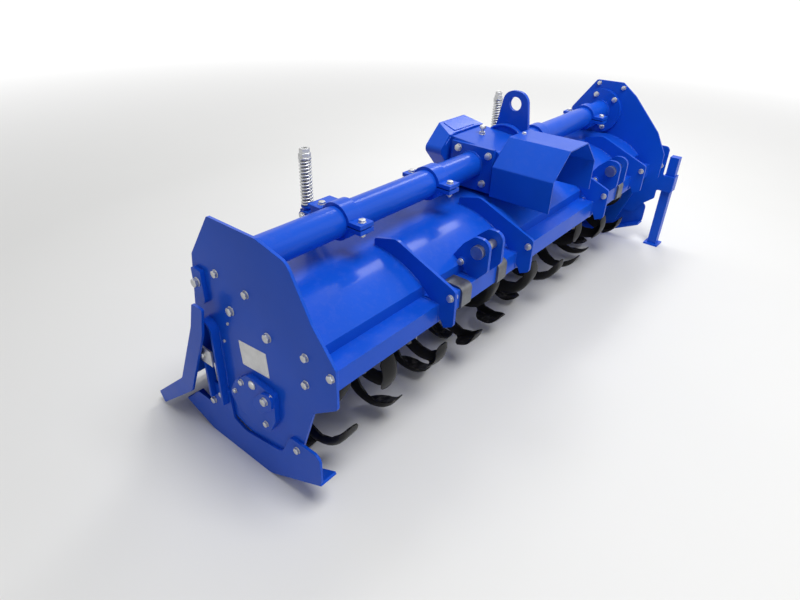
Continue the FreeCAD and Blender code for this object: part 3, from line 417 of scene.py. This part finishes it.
# Bolts of the gear case cover on its outer face, as rows of (y, z).
CASE_BOLTS = ((-60.0, 126.0), (16.0, 166.0), (48.0, 245.0), (54.0, 380.0), (60.0, 510.0), (66.0, 630.0),
              (10.0, 716.0), (-68.0, 718.0), (-126.0, 672.0), (-138.0, 560.0))
AXES = {"-X": (-1, 0, 0), "+X": (1, 0, 0), "-Y": (0, -1, 0), "+Z": (0, 0, 1), "-Z": (0, 0, -1)}


def disc(radius, low, high, bevel=0.4, sides=SIDES):
    """Flat round piece about Z with its upper edge turned off."""
    return revolve([(radius, low), (radius, high - bevel), (radius - bevel, high)], sides)


def hexagon(across, low, high, bore=0.0, deep=0.0):
    """Hexagon of that width across its flats, its upper corners turned off by a cone.

    Round the middle the width goes as 1 / cos(angle from the nearest flat), cut off at the top where
    the cone of 30 degrees is narrower. A bore of that radius goes down from the top by deep.
    """
    angle = np.linspace(0.0, 2 * math.pi, 24, endpoint=False)
    from_flat = (angle + math.pi / 6) % (math.pi / 3) - math.pi / 6
    edge = across / 2 / np.cos(from_flat)
    drop = np.maximum(0.0, edge - across / 2 * 1.02) * math.tan(math.radians(30.0))
    rim = np.full(len(angle), across / 2 * 0.97)
    rows = [(edge, np.full(len(angle), low)), (edge, high - drop - 0.15), (rim, np.full(len(angle), high))]
    if bore:
        rows += [(np.full(len(angle), bore + chamfer), np.full(len(angle), high - sunk))
                 for chamfer, sunk in ((0.8, 0.0), (0.0, 0.8), (0.0, deep))]
    points = np.stack([np.stack([r * np.cos(angle), r * np.sin(angle), z], -1) for r, z in rows])
    return grid(points, wrap_columns=True, cap_ends=True)


def bolt_head(thread, washer=0.92):
    """Washer of that radius in threads and the hexagon head on it, 1.5 threads across its flats."""
    seat = 0.12 * thread
    top = seat + 0.56 * thread
    return joined([disc(washer * thread, 0.0, seat), disc(0.72 * thread, seat, seat + 0.4),
                   hexagon(1.5 * thread, seat + 0.4, top)])


def nut_end(thread, tall=0.8, over=0.35):
    """Washer, nut and the bolt's threaded end past it."""
    seat = 0.17 * thread
    top = seat + tall * thread
    pitch = 0.13 * thread
    end = top + over * thread
    rings = max(2, int(round((end - top + 1.0) / pitch)))
    z = np.linspace(top - 1.0, end - pitch / 2, 2 * rings + 1)
    r = np.where(np.arange(len(z)) % 2, 0.5 * thread - 0.6 * pitch, 0.5 * thread)
    profile = np.stack([r, z], -1).tolist() + [(0.36 * thread, end)]
    return joined([disc(1.08 * thread, 0.0, seat), hexagon(1.58 * thread, seat, top), revolve(profile, 16)])


def at(shape, places, axis, spin=0.0):
    """Copies of a piece drawn in millimetres about Z, set on places with Z along the axis, in metres."""
    matrices = toward(np.asarray(places, float) * MM, axis, spin)
    matrices[:, :3, :3] *= MM
    return shape.placed(matrices)


def spun(index):
    """A turn for the n-th bolt, so that no two heads stand alike."""
    return (index * 2.399963) % (math.pi / 3)


def helix(radius, wire, low, high, turns, steps=20):
    """Round wire wound about Z, its first and last turn laid flat against the next."""
    t = np.linspace(0.0, turns, int(turns * steps) + 1)
    z = np.interp(t, [0.0, 1.0, turns - 1.0, turns],
                  [low + wire, low + wire * 2.4, high - wire * 2.4, high - wire])
    a = 2 * math.pi * t
    path = np.stack([radius * np.cos(a), radius * np.sin(a), z], -1)
    radii = np.full(len(path), wire)
    return sweep(path, radii, 8)


def thread(radius, low, high, pitch, steps=14):
    """Screw thread: a fine ridge wound on a core, both about Z."""
    turns = (high - low) / pitch
    t = np.linspace(0.0, turns, int(turns * steps) + 1)
    a = 2 * math.pi * t
    path = np.stack([(radius - 0.1) * np.cos(a), (radius - 0.1) * np.sin(a), low + pitch * t], -1)
    return sweep(path, np.full(len(path), pitch * 0.32), 4)


def weld(points, width, seed=0):
    """Weld bead along a line in millimetres: a round bar that swells and falls once a ripple."""
    points = np.asarray(points, float)
    runs = np.linalg.norm(np.diff(points, axis=0), axis=1)
    along = np.concatenate([[0.0], np.cumsum(runs)])
    count = max(4, int(along[-1] / (0.45 * width)))
    s = np.linspace(0.0, along[-1], count)
    path = np.stack([np.interp(s, along, points[:, k]) for k in range(3)], -1)
    path += 0.07 * width * np.sin(s[:, None] * (0.11, 0.17, 0.23) + seed)
    radii = 0.5 * width * (1.0 + 0.14 * np.sin(2 * math.pi * s / (0.9 * width)) + 0.08 * np.sin(s * 0.31 + seed))
    radii[0] *= 0.6
    radii[-1] *= 0.6
    bead = sweep(path, radii, 7, up=(0.31, 0.23, 0.92))
    bead.points *= MM
    return bead


def ring_points(radius, x, y, z, start=0.0, end=360.0, steps=48):
    """Points on a circle about X; angles in degrees from +Y towards +Z."""
    a = np.radians(np.linspace(start, end, steps + 1))
    return np.stack([np.full(len(a), x), y + radius * np.cos(a), z + radius * np.sin(a)], -1)


def slab(outline, low, high, bevel=1.2):
    """Plate about Z from an outline of (x, y) in millimetres, its upper edges broken by a bevel.

    The bevel's inner line is the outline drawn towards its middle by the bevel's width.
    """
    outline = np.asarray(outline, float)
    middle = outline.mean(0)
    inward = middle - outline
    inward /= np.linalg.norm(inward, axis=1, keepdims=True)
    rows = [(outline, low), (outline, high - bevel), (outline + inward * bevel * 1.2, high)]
    points = np.stack([np.column_stack([xy, np.full(len(xy), z)]) for xy, z in rows])
    return grid(points, wrap_columns=True, cap_ends=True)


class Builder:
    """What the operators that make pieces have in common."""

    @staticmethod
    def hardware(name, shapes, body=FRAME, slot=ZINC, smooth_deg=32.0):
        return make_piece(name, joined(shapes), MATERIALS[slot], body, smooth_deg)


class ROTAVATOR_OT_bolts(bpy.types.Operator, Builder):
    """Hexagon bolts and nuts on the plates, hub, hitch, gussets, gear case and gearbox"""

    bl_idname = "rotavator.bolts"
    bl_label = "Bolts and nuts"

    def execute(self, context):
        heads = [at(bolt_head(size), [(x, y, z)], AXES[axis], spun(i))
                 for i, (x, y, z, axis, size) in enumerate(BOLTS)]
        heads += [at(bolt_head(8.0), [(CASE_X, y, z)], AXES["+X"], spun(i))
                  for i, (y, z) in enumerate(CASE_BOLTS)]
        self.hardware("outside_bolts", heads)
        hinge_nut = joined([disc(13.0, 0.0, 1.6), hexagon(21.5, 1.6, 12.4)])
        nuts = [at(hinge_nut, [(x, 120.0, 546.0)], AXES[axis], 0.3)
                for x, axis in ((PLATE_X - 12.0, "-X"), (LEFT_PLATE_X + 12.0, "+X"))]
        self.hardware("hinge_nuts", nuts)
        gusset = []
        for i, x in enumerate(GUSSET_XS):
            gusset.append(at(bolt_head(12.0), [(x - 5.0, -346.0, 479.0)], AXES["-X"], spun(i)))
            gusset.append(at(nut_end(12.0), [(x + 5.0, -346.0, 479.0)], AXES["+X"], spun(i + 3)))
        self.hardware("gusset_bolts", gusset)
        hitch, bosses = [], []
        for i, x in enumerate(HITCH_XS):
            bosses.append(at(disc(15.0, -0.5, 4.0, 0.8, 28), [(x - 43.0, -252.0, 486.0)], AXES["-X"]))
            hitch.append(at(bolt_head(12.0), [(x - 47.0, -252.0, 486.0)], AXES["-X"], spun(i)))
            hitch.append(at(nut_end(12.0), [(x - 31.0, -252.0, 486.0)], AXES["+X"], spun(i + 1)))
        self.hardware("hitch_bolts", hitch)
        self.hardware("hitch_bosses", bosses, FRAME, ENAMEL)
        return {"FINISHED"}


class ROTAVATOR_OT_clamp_bolts(bpy.types.Operator, Builder):
    """Upright bolts through the ears of the tube clamps"""

    bl_idname = "rotavator.clamp_bolts"
    bl_label = "Clamp bolts"

    def execute(self, context):
        pieces = []
        ear = TUBE_R + 10.0 + 22.0
        for i, x in enumerate(CLAMP_XS):
            carried = x in (CLAMP_XS[0], CLAMP_XS[2])
            pieces.append(at(bolt_head(12.0), [(x, TUBE_Y - ear, TUBE_Z + 14.0)], AXES["+Z"], spun(i)))
            top = TUBE_Z + (22.0 if carried else 14.0)
            pieces.append(at(bolt_head(12.0), [(x, TUBE_Y + ear, top)], AXES["+Z"], spun(i + 2)))
            for side in (-1, 1):
                pieces.append(at(nut_end(12.0), [(x, TUBE_Y + side * ear, TUBE_Z - 14.0)], AXES["-Z"], spun(i)))
        self.hardware("clamp_bolts", pieces)
        return {"FINISHED"}


class ROTAVATOR_OT_hub(bpy.types.Operator, Builder):
    """Domed cap on the rotor's bearing housing"""

    bl_idname = "rotavator.hub"
    bl_label = "Hub cap"

    def execute(self, context):
        angle = np.radians(np.linspace(0.0, 86.0, 9))
        dome = [(13.0, 0.0), (13.0, 2.0)] + [(12.0 * math.cos(a), 2.0 + 5.0 * math.sin(a)) for a in angle]
        cap = at(revolve(dome, 28), [(HUB_X, -66.0, 313.0)], AXES["-X"])
        self.hardware("hub_cap", [cap])
        return {"FINISHED"}


# Stations of a tine from its root to its tip: radius and angle of the leading edge, radius and angle
# of the trailing edge, how far the line between them bulges out, and how far it stands aside.
TINE_STATIONS = np.array((
    (62.0, 25.0, 62.0, -25.0, 0.0, 0.0), (86.0, 19.0, 86.0, -19.0, 0.0, 0.0),
    (110.0, 15.0, 110.0, -15.0, 0.0, 0.0), (135.0, 8.0, 140.0, -16.5, 2.0, 0.0),
    (158.0, 2.0, 172.0, -21.5, 6.0, 0.0), (175.0, -4.0, 198.0, -32.0, 12.0, 0.0),
    (186.0, -8.5, 211.0, -41.0, 17.0, 1.9), (192.0, -10.0, 218.0, -44.5, 19.5, 7.0),
    (195.0, -10.5, 220.5, -46.0, 20.5, 14.0), (196.0, -12.0, 220.5, -46.0, 20.0, 28.0),
    (199.0, -15.0, 220.5, -46.0, 18.0, 44.0), (204.0, -19.0, 220.5, -45.0, 14.0, 57.0),
    (211.0, -26.0, 220.5, -42.0, 8.0, 65.0)))
TINE_EDGE = np.array((0.16, 0.66, 1.0, 1.0, 1.0, 1.0, 0.72))
TINE_T = 9.0
FLANGE_T = 10.0
FLANGE_XS = -1042.0 + 240.0 * np.arange(9)
FLANGE_TURN = 22.0
TINE_BOLT_RADII = (70.0, 97.0)


def polar(radius, degrees):
    a = np.radians(degrees)
    return np.stack([radius * np.cos(a), radius * np.sin(a)], -1)


def tine(side):
    """One forged tine about X, in millimetres, with its shank towards +Y and its scoop to that side.

    Each station is a line from the leading to the trailing edge that bulges outward by
    4 u (1 - u) times its bulge; both faces stand off it by half the thickness along its normal,
    and the leading edge and the tip are ground thin.
    """
    lead_r, lead_a, trail_r, trail_a, bulge, aside = TINE_STATIONS.T
    lead, trail = polar(lead_r, lead_a), polar(trail_r, trail_a)
    u = np.linspace(0.0, 1.0, len(TINE_EDGE))[None, :, None]
    flat = lead[:, None] * (1.0 - u) + trail[:, None] * u
    out = (lead + trail) / np.linalg.norm(lead + trail, axis=1, keepdims=True)
    flat = flat + (4.0 * u * (1.0 - u)) * bulge[:, None, None] * out[:, None]
    x = np.broadcast_to((FLANGE_T / 2 + TINE_T / 2 + aside)[:, None, None], flat.shape[:2] + (1,))
    middle = np.concatenate([x * side, flat], -1)
    normal = np.cross(np.gradient(middle, axis=0), np.gradient(middle, axis=1))
    normal /= np.linalg.norm(normal, axis=-1, keepdims=True)
    along = np.interp(np.arange(len(lead)), [0, 9, 12], [1.0, 0.88, 0.30])
    half = TINE_T / 2 * TINE_EDGE[None, :, None] * along[:, None, None]
    near, far = middle + normal * half, middle - normal * half
    ring = np.concatenate([near, far[:, ::-1]], 1)
    if side < 0:
        ring = ring[:, ::-1]
    return grid(ring, wrap_columns=True, cap_ends=True)


def about_x(x, degrees):
    """Matrix in metres that turns a piece in millimetres about the rotor's axis and sets it at x."""
    c, s = math.cos(math.radians(degrees)), math.sin(math.radians(degrees))
    matrix = np.eye(4)
    matrix[:3, :3] = np.array([[1, 0, 0], [0, c, -s], [0, s, c]]) * MM
    matrix[:3, 3] = np.array([x, ROTOR_Y, ROTOR_Z]) * MM
    return matrix


def tine_places(side):
    """Matrices of the tines of one hand: right and left by turns, the end flanges inwards only."""
    places = []
    for i, x in enumerate(FLANGE_XS):
        for k in range(6):
            hand = 1 if i == 0 else -1 if i == len(FLANGE_XS) - 1 else (1, -1)[k % 2]
            if hand == side:
                places.append(about_x(x, 60.0 * k + FLANGE_TURN * i))
    return places


class ROTAVATOR_OT_tines(bpy.types.Operator, Builder):
    """Forged scimitar tines with ground edges, and the bolts that hold them to their flanges"""

    bl_idname = "rotavator.tines"
    bl_label = "Tines"

    def execute(self, context):
        for side, node in ((1, "tines_right_hand"), (-1, "tines_left_hand")):
            places = tine_places(side)
            piece = self.hardware("forged_" + node, [tine(side).placed(places)], ROTOR, BLACK, 38.0)
            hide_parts(node)
            bolts = []
            for radius in TINE_BOLT_RADII:
                head = toward([(side * (FLANGE_T / 2 + TINE_T), radius, 0.0)], (side, 0, 0), radius)
                nut = toward([(-side * FLANGE_T / 2, radius, 0.0)], (-side, 0, 0), radius * 0.7)
                bolts.append(bolt_head(12.0).placed(head))
                bolts.append(nut_end(12.0).placed(nut))
            self.hardware(node + "_bolts", [joined(bolts).placed(places)], ROTOR)
        rings = []
        for i, x in enumerate(FLANGE_XS):
            for side in (-1, 1):
                ring = weld(ring_points(39.5, x + side * (FLANGE_T / 2 + 1.0), ROTOR_Y, ROTOR_Z), 6.0, i + side)
                rings.append(ring)
        self.hardware("rotor_welds", rings, ROTOR, BLACK, 60.0)
        return {"FINISHED"}


class ROTAVATOR_OT_springs(bpy.types.Operator, Builder):
    """Coil springs, rod threads, nuts and the pins' washers of the two spring rods"""

    bl_idname = "rotavator.springs"
    bl_label = "Springs and rods"

    def execute(self, context):
        for name, x in ROD_XS:
            centre = [(x, TRUNNION_Y, 0.0)]
            coil = self.hardware("coil_" + name, [at(helix(15.7, 3.2, SPRING_LOW_Z, SPRING_HIGH_Z, 14.5),
                                                     centre, AXES["+Z"])], "trunnion_" + name, ZINC, 70.0)
            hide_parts("spring_" + name)
            lock = [disc(18.5, 766.5, 768.0), hexagon(32.0, 768.0, 780.6), hexagon(26.5, 780.6, 793.5, 8.3, 8.0),
                    disc(15.0, 461.5, 463.5), hexagon(24.0, 463.5, 472.0)]
            self.hardware("rod_thread_" + name, [at(thread(8.0, 470.0, 540.0, 1.75), centre, AXES["+Z"])],
                          "rod_" + name, ZINC, 60.0)
            self.hardware("rod_nuts_" + name, [at(joined(lock), centre, AXES["+Z"])], "rod_" + name)
            self.pins(name, x)
        return {"FINISHED"}

    def pins(self, name, x):
        """Washers and split pins on the trunnion's pins and on the pin in the rod's eye."""
        for label, body, y, z, reach, radius in (
                ("trunnion_pins_", "trunnion_" + name, TRUNNION_Y, TRUNNION_Z, 22.3, 8.0),
                ("eye_pins_", BOARD, TRUNNION_Y, EYE_Z, 17.0, 8.0)):
            shapes = []
            for side, axis in ((-1, AXES["-X"]), (1, AXES["+X"])):
                washer = [(x + side * reach, y, z)]
                shapes.append(at(disc(13.0, 0.1, 2.0), washer, axis))
                shapes.append(at(revolve([(radius, 2.0), (radius, 5.2), (radius - 1.2, 6.4)], 20), washer, axis))
                pin = [(x + side * (reach + 3.4), y, z - 12.0), (x + side * (reach + 3.4), y, z + 12.0)]
                cotter = sweep(np.array(pin) * MM, np.full(2, 1.3 * MM), 8, up=(0, 1, 0))
                shapes.append(cotter)
            self.hardware(label + name, shapes, body)


class ROTAVATOR_OT_welds(bpy.types.Operator, Builder):
    """Weld beads where plates, tubes, gussets and brackets meet"""

    bl_idname = "rotavator.welds"
    bl_label = "Weld beads"

    def execute(self, context):
        beads = []
        front, top, rear = BEAM_Y - BEAM_HALF, BEAM_Z + BEAM_HALF, BEAM_Y + BEAM_HALF
        arc = ring_points(HOOD_R, 0.0, ROTOR_Y, ROTOR_Z, 128.0, 92.0, 16)
        for i, x in enumerate(GUSSET_XS):
            for side in (-1, 1):
                face = x + side * 5.0
                beads.append(weld([(face, front, BEAM_Z - BEAM_HALF + 3.0), (face, front, top)], 5.0, i))
                beads.append(weld([(face, front, top), (face, rear, top)], 5.0, i + 4))
                beads.append(weld(arc + (face, 0.0, 0.0), 5.0, i + 9))
        for i, x in enumerate(HITCH_XS):
            for side in (-43.0, -31.0, 31.0, 43.0):
                beads.append(weld([(x + side, front, top), (x + side, rear, top)], 5.0, i))
        self.hardware("beam_welds", beads, FRAME, ENAMEL, 60.0)
        beads = []
        for i, (x, r) in enumerate(((-1108.0, TUBE_R), (-134.0, TUBE_R), (94.0, TUBE_R), (951.0, TUBE_R),
                                    (108.0, TUBE_R))):
            beads.append(weld(ring_points(r + 1.0, x, TUBE_Y, TUBE_Z), 6.5, i))
        self.hardware("tube_welds", beads, FRAME, ENAMEL, 60.0)
        beads = []
        hood = ring_points(HOOD_R, 0.0, ROTOR_Y, ROTOR_Z, 128.0, 90.0, 16)
        for i, x in enumerate((-1121.0, 964.0)):
            beads.append(weld(hood + (x, 0.0, 0.0), 4.5, i))
            beads.append(weld([(x, front, BEAM_Z - 28.0), (x, front, top), (x, rear, top)], 5.0, i + 2))
        for x, out in ((PLATE_X, -1), (CASE_X, 1)):
            for y in (72.0, 138.0):
                beads.append(weld([(x + out * 0.5, y, 222.0), (x + out * 0.5, y, 408.0)], 5.5, y))
        for y in (-400.0, -346.0):
            beads.append(weld([(ARM_X, y, 292.0), (ARM_X, y, 363.0)], 4.5, y))
        self.hardware("end_welds", beads, FRAME, ENAMEL, 60.0)
        beads = []
        for name, x in ROD_XS:
            for side in (-17.0, -11.0, 11.0, 17.0):
                beads.append(weld([(x + side, 129.5, 430.0), (x + side, 123.0, 452.0)], 4.0, x))
        self.hardware("board_welds", beads, BOARD, ENAMEL, 60.0)
        return {"FINISHED"}


class ROTAVATOR_OT_gearbox(bpy.types.Operator, Builder):
    """Breather, cover seam, raised cover panel and rim of the gearbox"""

    bl_idname = "rotavator.gearbox"
    bl_label = "Gearbox fittings"

    def execute(self, context):
        breather = joined([disc(12.0, 0.0, 1.5), hexagon(20.0, 1.5, 9.0), disc(6.0, 9.0, 20.0, 0.2),
                           revolve([(7.0, 18.0), (11.0, 20.0), (11.5, 27.0), (9.5, 31.0), (4.0, 33.0)], 24)])
        self.hardware("breather", [at(breather, [(-8.0, 16.0, 715.2)], AXES["+Z"])])
        seam = [(-150.0, 75.0, 690.0), (-121.0, 76.0, 712.0), (-106.0, 76.0, 722.0), (-90.0, 76.0, 724.5),
                (50.0, 76.0, 724.5), (66.0, 76.0, 722.0), (81.0, 76.0, 712.0), (110.0, 75.0, 690.0)]
        self.hardware("cover_seam", [weld(seam, 5.0, 2), weld([(-119.5, -108.0, 703.5), (-119.5, 58.0, 713.5)],
                                                              5.0, 5)], FRAME, ENAMEL, 60.0)
        rise = 25.0 / 68.0
        panel = [(-84.0, 84.0), (44.0, 84.0), (44.0, 137.0), (-84.0, 137.0)]
        corner = rounded(panel, 7.0)
        plate = slab(corner, 0.0, 2.4)
        plate.points[:, 2] += 724.2 + (plate.points[:, 1] - 75.0) * rise
        plate.points *= MM
        self.hardware("cover_panel", [plate], FRAME, ENAMEL)
        rim = ring_points(94.0, 80.5, TUBE_Y, TUBE_Z, 0.0, 352.5, 47) * MM
        bead = sweep(rim, np.full(len(rim), 5.0 * MM), 10, up=(1, 0, 0), closed=True)
        self.hardware("flange_rim", [bead], FRAME, ENAMEL, 60.0)
        return {"FINISHED"}


def rounded(corners, radius, steps=5):
    """An outline with its corners rounded, each by an arc from one side's direction to the next's."""
    corners = np.asarray(corners, float)
    before = np.roll(corners, 1, 0) - corners
    after = np.roll(corners, -1, 0) - corners
    before /= np.linalg.norm(before, axis=1, keepdims=True)
    after /= np.linalg.norm(after, axis=1, keepdims=True)
    cosine = (before * after).sum(1)
    half = np.arccos(cosine) / 2
    start = corners + before * (radius / np.tan(half))[:, None]
    stop = corners + after * (radius / np.tan(half))[:, None]
    s = np.linspace(0.0, 1.0, steps)[None, :, None]
    return (start[:, None] * (1 - s) ** 2 + corners[:, None] * 2 * s * (1 - s)
            + stop[:, None] * s ** 2).reshape(-1, 2)


class ROTAVATOR_OT_nameplate(bpy.types.Operator, Builder):
    """Blank aluminium plate with four rivets on the right end plate"""

    bl_idname = "rotavator.nameplate"
    bl_label = "Blank plate"

    def execute(self, context):
        half_w, half_h, lean = 54.0, 37.0, math.radians(4.5)
        outline = rounded([(-half_w, -half_h), (half_w, -half_h), (half_w, half_h), (-half_w, half_h)], 3.0)
        plate = slab(outline, 0.0, 1.0, 0.3)
        rivet = revolve([(3.0, 1.0), (2.8, 1.7), (2.0, 2.3), (0.8, 2.5)], 12)
        spots = [(sx * (half_w - 6.0), sy * (half_h - 6.0), 0.0) for sx in (-1, 1) for sy in (-1, 1)]
        rivets = rivet.placed([Matrix.Translation(spot) for spot in spots])
        whole = joined([plate, rivets])
        piece = self.hardware("blank_plate", [at(whole, [(PLATE_X, -66.0, 388.0)], AXES["-X"], lean)],
                              FRAME, STEEL)
        piece.data.materials[0] = MATERIALS["aluminium"]
        return {"FINISHED"}


class ROTAVATOR_OT_stage(bpy.types.Operator):
    """Sets the floor, the soft lights and the camera"""

    bl_idname = "rotavator.stage"
    bl_label = "Stage and camera"

    def execute(self, context):
        stage = context.scene.rotavator_stage
        floor = grid(np.stack(np.meshgrid([-30.0, 30.0], [-30.0, 30.0], [0.0], indexing="ij"), -1)[:, ::-1, 0])
        finish = Finish("floor_finish")
        grain = finish.noise(2.3, 4.0)
        tone = finish.blend(grain * 0.3, tuple(stage.floor), tuple(c * 0.94 for c in stage.floor[:3]) + (1.0,))
        reach = finish.node("ShaderNodeVectorMath", {"operation": "LENGTH"}, {0: finish.place()}, "Value")
        seen = finish.clamp(finish.node("ShaderNodeLightPath", None, None, "Is Camera Ray")
                            + finish.node("ShaderNodeLightPath", None, None, "Is Glossy Ray"))
        far = finish.steps(reach, 2.2, 6.5) * seen
        tone = finish.blend(far, tone, (0.0, 0.0, 0.0, 1.0))
        haze = finish.blend(far, (0.0, 0.0, 0.0, 1.0), (1.0, 1.0, 1.0, 1.0))
        mesh = bpy.data.meshes.new("floor")
        mesh.from_pydata(floor.points.tolist(), [], floor.faces[0].tolist())
        mesh.materials.append(finish.surface(Base_Color=tone, Roughness=0.7, Emission_Color=haze,
                                             Emission_Strength=1.0))
        plane = bpy.data.objects.new("floor", mesh)
        context.scene.collection.objects.link(plane)
        self.light(context, "key", (-0.6, -1.9, 4.6), 2.6, stage.key_power)
        self.light(context, "fill", (3.4, -3.6, 3.0), 3.5, stage.fill_power)
        self.light(context, "back", (1.0, 4.2, 3.6), 3.0, stage.fill_power)
        self.strip(context, (2.35, 0.75, 2.9), 2.6, stage.strip_power)
        self.world(context)
        self.camera(context, stage)
        return {"FINISHED"}

    @staticmethod
    def light(context, name, place, size, power):
        data = bpy.data.lights.new(name, "AREA")
        data.shape = "DISK"
        data.size = size
        data.energy = power
        lamp = bpy.data.objects.new(name, data)
        lamp.location = place
        lamp.rotation_euler = (Vector((0.0, 0.0, 0.4)) - Vector(place)).to_track_quat("-Z", "Y").to_euler()
        context.scene.collection.objects.link(lamp)

    @staticmethod
    def strip(context, place, length, power):
        """A long soft lamp along X whose reflection draws a streak on round enamel."""
        data = bpy.data.lights.new("strip", "AREA")
        data.shape = "RECTANGLE"
        data.size = length
        data.size_y = 0.7
        data.energy = power
        lamp = bpy.data.objects.new("strip", data)
        lamp.location = place
        context.scene.collection.objects.link(lamp)

    @staticmethod
    def world(context):
        """White where the camera, a reflection or glass sees it; a softer grey as light."""
        world = bpy.data.worlds.new("studio")
        world.use_nodes = True
        tree = world.node_tree
        tree.nodes.clear()
        path = tree.nodes.new("ShaderNodeLightPath")
        seen = tree.nodes.new("ShaderNodeMath")
        seen.operation = "ADD"
        tree.links.new(path.outputs["Is Camera Ray"], seen.inputs[0])
        tree.links.new(path.outputs["Is Glossy Ray"], seen.inputs[1])
        through = tree.nodes.new("ShaderNodeMath")
        through.operation = "ADD"
        through.use_clamp = True
        tree.links.new(seen.outputs[0], through.inputs[0])
        tree.links.new(path.outputs["Is Transmission Ray"], through.inputs[1])
        strength = tree.nodes.new("ShaderNodeMapRange")
        strength.inputs["To Min"].default_value = 0.30
        strength.inputs["To Max"].default_value = 1.0
        tree.links.new(through.outputs[0], strength.inputs["Value"])
        background = tree.nodes.new("ShaderNodeBackground")
        background.inputs["Color"].default_value = (1.0, 1.0, 1.0, 1.0)
        tree.links.new(strength.outputs[0], background.inputs["Strength"])
        output = tree.nodes.new("ShaderNodeOutputWorld")
        tree.links.new(background.outputs[0], output.inputs["Surface"])
        context.scene.world = world

    @staticmethod
    def camera(context, stage):
        """The rotation vector turns the frame's axes to right, down and forward, which are camera X, -Y, -Z."""
        vector = Vector(stage.turn)
        rows = Matrix.Rotation(vector.length, 3, vector.normalized())
        axes = Matrix((rows[0], -rows[1], -rows[2])).transposed()
        data = bpy.data.cameras.new("camera")
        data.sensor_width = 36.0
        data.lens = stage.lens
        camera = bpy.data.objects.new("camera", data)
        camera.matrix_world = Matrix.Translation(Vector(stage.eye)) @ axes.to_4x4()
        context.scene.collection.objects.link(camera)
        context.scene.camera = camera
        context.scene.view_settings.view_transform = "Standard"


class ROTAVATOR_PT_panel(bpy.types.Panel):
    """Lists the machine's pieces and its finishes"""

    bl_idname = "ROTAVATOR_PT_panel"
    bl_label = "Rotavator"
    bl_space_type = "VIEW_3D"
    bl_region_type = "UI"
    bl_category = "Rotavator"

    def draw(self, context):
        for operator in OPERATORS:
            self.layout.operator(operator.bl_idname)


OPERATORS = (
    ROTAVATOR_OT_paint,
    ROTAVATOR_OT_bolts,
    ROTAVATOR_OT_clamp_bolts,
    ROTAVATOR_OT_hub,
    ROTAVATOR_OT_springs,
    ROTAVATOR_OT_tines,
    ROTAVATOR_OT_welds,
    ROTAVATOR_OT_gearbox,
    ROTAVATOR_OT_nameplate,
    ROTAVATOR_OT_stage,
)
GROUPS = (
    ("rotavator_paint", RotavatorPaint),
    ("rotavator_stage", RotavatorStage),
)


def register():
    for name, group in GROUPS:
        bpy.utils.register_class(group)
        setattr(bpy.types.Scene, name, bpy.props.PointerProperty(type=group))
    for operator in OPERATORS:
        bpy.utils.register_class(operator)
    bpy.utils.register_class(ROTAVATOR_PT_panel)


def unregister():
    bpy.utils.unregister_class(ROTAVATOR_PT_panel)
    for operator in reversed(OPERATORS):
        bpy.utils.unregister_class(operator)
    for name, group in reversed(GROUPS):
        delattr(bpy.types.Scene, name)
        bpy.utils.unregister_class(group)


def main():
    register()
    for operator in OPERATORS:
        family, action = operator.bl_idname.split(".")
        getattr(getattr(bpy.ops, family), action)()


if __name__ == "__main__":
    main()
